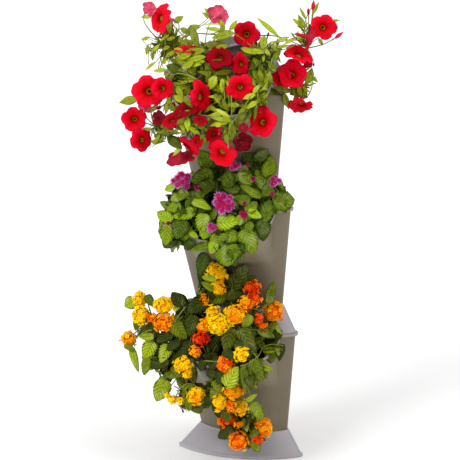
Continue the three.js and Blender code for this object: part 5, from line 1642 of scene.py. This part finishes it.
def plastic(context, part, gloss=0.0):
    """The moulded plastic of the foot, the pots or the covers."""
    colours = context.scene.tower_colours
    slot = part.rstrip("s") + "_plastic"
    return moulded_plastic(slot, tuple(getattr(colours, part)), tuple(colours.worn), gloss)


class PLANTER_OT_foot(bpy.types.Operator):
    """Make the flared foot"""

    bl_idname = "planter.foot"
    bl_label = "Foot"

    def execute(self, context):
        foot_flare(plastic(context, "foot", COVER_GLOSS))
        return {"FINISHED"}


class PLANTER_OT_pots(bpy.types.Operator):
    """Make the three pots with their planting bays"""

    bl_idname = "planter.pots"
    bl_label = "Pots"

    def execute(self, context):
        material = plastic(context, "pots")
        for tier in TIERS:
            pot_shell(tier, material)
        return {"FINISHED"}


class PLANTER_OT_covers(bpy.types.Operator):
    """Make the sloping covers between the tiers"""

    bl_idname = "planter.covers"
    bl_label = "Covers"

    def execute(self, context):
        material = plastic(context, "covers", COVER_GLOSS)
        for tier in TIERS:
            cover_skirt(tier, material)
        return {"FINISHED"}


class PLANTER_OT_filling(bpy.types.Operator):
    """Finish the drain grids and make the soil"""

    bl_idname = "planter.filling"
    bl_label = "Drain grids and soil"

    def execute(self, context):
        grid = moulded_plastic("grid_plastic", linear(58, 56, 58), linear(96, 94, 96))
        soil = crumbly_soil()
        for tier in TIERS:
            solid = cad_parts[tier + "_drain_grid"]
            solid.data.materials.clear()
            solid.data.materials.append(grid)
            soil_bed(tier, soil)
        return {"FINISHED"}


class PLANTER_OT_petunias(bpy.types.Operator):
    """Grow the four petunias of the upper tier"""

    bl_idname = "planter.petunias"
    bl_label = "Petunias"

    def execute(self, context):
        grow("petunia", PETUNIAS, petunia_finish(tuple(context.scene.tower_colours.petals)), 31, add_petunias)
        return {"FINISHED"}


class PLANTER_OT_ageratums(bpy.types.Operator):
    """Grow the two ageratums of the middle tier"""

    bl_idname = "planter.ageratums"
    bl_label = "Ageratums"

    def execute(self, context):
        grow("ageratum", AGERATUMS, ageratum_finish(), 47, add_tufts)
        return {"FINISHED"}


class PLANTER_OT_lantanas(bpy.types.Operator):
    """Grow the two lantanas of the lower tier"""

    bl_idname = "planter.lantanas"
    bl_label = "Lantanas"

    def execute(self, context):
        grow("lantana", LANTANAS, lantana_finish(), 59, add_florets)
        return {"FINISHED"}


def sky_light(strength):
    """A white background to the camera, to gloss and to glass, and a plain dim light to everything else."""
    sky = Network(bpy.data.worlds.new("sky"))
    camera = sky.node("ShaderNodeLightPath", {}, {}, "Is Camera Ray")
    direct = camera.math("MAXIMUM", camera, camera.part("Is Glossy Ray"))
    direct = direct.math("MAXIMUM", direct, camera.part("Is Transmission Ray"))
    light, seen = (
        sky.node("ShaderNodeBackground", {}, {"Color": (1, 1, 1), "Strength": power})
        for power in (strength, 1)
    )
    mix = sky.node("ShaderNodeMixShader", {}, {0: direct, 1: light, 2: seen})
    sky.node("ShaderNodeOutputWorld", {}, {"Surface": mix})
    bpy.context.scene.world = sky.owner


def look_along(thing, back, right):
    """Turns a thing so that it looks against back, with right to its right."""
    turn = np.stack([right, np.cross(back, right), back], -1)
    thing.rotation_mode = "QUATERNION"
    thing.rotation_quaternion = Matrix(turn.tolist()).to_quaternion()


def add_sun(name, strength, width, way):
    """A sun that stands in the given way and is as wide in the sky as its degrees say."""
    lamp = bpy.data.lights.new(name, "SUN")
    lamp.energy, lamp.angle = strength, math.radians(width)
    way = unit(np.array(way))
    look_along(add_object(name, lamp), way, unit(np.cross((0, 0, 1), way)))


class PLANTER_OT_stage(bpy.types.Operator):
    """Set the floor, the light and the camera"""

    bl_idname = "planter.stage"
    bl_label = "Floor, light and camera"

    def execute(self, context):
        scene, stage = context.scene, context.scene.tower_stage
        scene.view_settings.view_transform = "Standard"
        sky_light(stage.sky)
        add_sun("key", stage.sun, 24, (-0.42, -0.72, 0.95))
        add_sun("fill", stage.fill, 34, (0.42, -0.04, 0.9))
        surface = Surface()
        square = np.array([[(-1, -1, 0), (1, -1, 0), (1, 1, 0), (-1, 1, 0)]])
        surface.add(stage.floor * square - (0, 0, FLOOR_DROP), np.arange(4))
        look = Finish("floor_paint")
        paint = look.mix(look.step(look.noise(3), 0.3, 0.7), (0.93, 0.93, 0.93), (0.95, 0.95, 0.95))
        floor = surface.build("floor", look.finish(paint, 0.95, shine=0.0))
        lens = bpy.data.cameras.new("camera")
        lens.lens, lens.sensor_width = VIEW_LENS, 36
        lens.clip_start, lens.clip_end = 0.1, 200
        camera = add_object("camera", lens)
        camera.location = VIEW_EYE + VIEW_OFFSET[0] * LEVEL_RIGHT + VIEW_OFFSET[1] * LEVEL_UP
        look_along(camera, VIEW_BACK, VIEW_RIGHT)
        scene.camera = camera
        return {"FINISHED"}


class PLANTER_PT_panel(bpy.types.Panel):
    """Colours, light and the steps that make the tower"""

    bl_idname = "PLANTER_PT_panel"
    bl_label = "Corner Planter Tower"
    bl_space_type = "VIEW_3D"
    bl_region_type = "UI"
    bl_category = "Planter"

    def draw(self, context):
        layout = self.layout
        for group in (context.scene.tower_colours, context.scene.tower_stage):
            for name in group.__annotations__:
                layout.prop(group, name)
        for operator in OPERATORS:
            layout.operator(operator.bl_idname)


OPERATORS = (
    PLANTER_OT_foot,
    PLANTER_OT_pots,
    PLANTER_OT_covers,
    PLANTER_OT_filling,
    PLANTER_OT_petunias,
    PLANTER_OT_ageratums,
    PLANTER_OT_lantanas,
    PLANTER_OT_stage,
)
CLASSES = (TowerColours, TowerStage, *OPERATORS, PLANTER_PT_panel)


def register():
    for kind in CLASSES:
        bpy.utils.register_class(kind)
    bpy.types.Scene.tower_colours = bpy.props.PointerProperty(type=TowerColours)
    bpy.types.Scene.tower_stage = bpy.props.PointerProperty(type=TowerStage)


def unregister():
    del bpy.types.Scene.tower_stage
    del bpy.types.Scene.tower_colours
    for kind in reversed(CLASSES):
        bpy.utils.unregister_class(kind)


def main():
    register()
    bpy.ops.planter.foot()
    bpy.ops.planter.pots()
    bpy.ops.planter.covers()
    bpy.ops.planter.filling()
    bpy.ops.planter.petunias()
    bpy.ops.planter.ageratums()
    bpy.ops.planter.lantanas()
    bpy.ops.planter.stage()


if __name__ == "__main__":
    main()
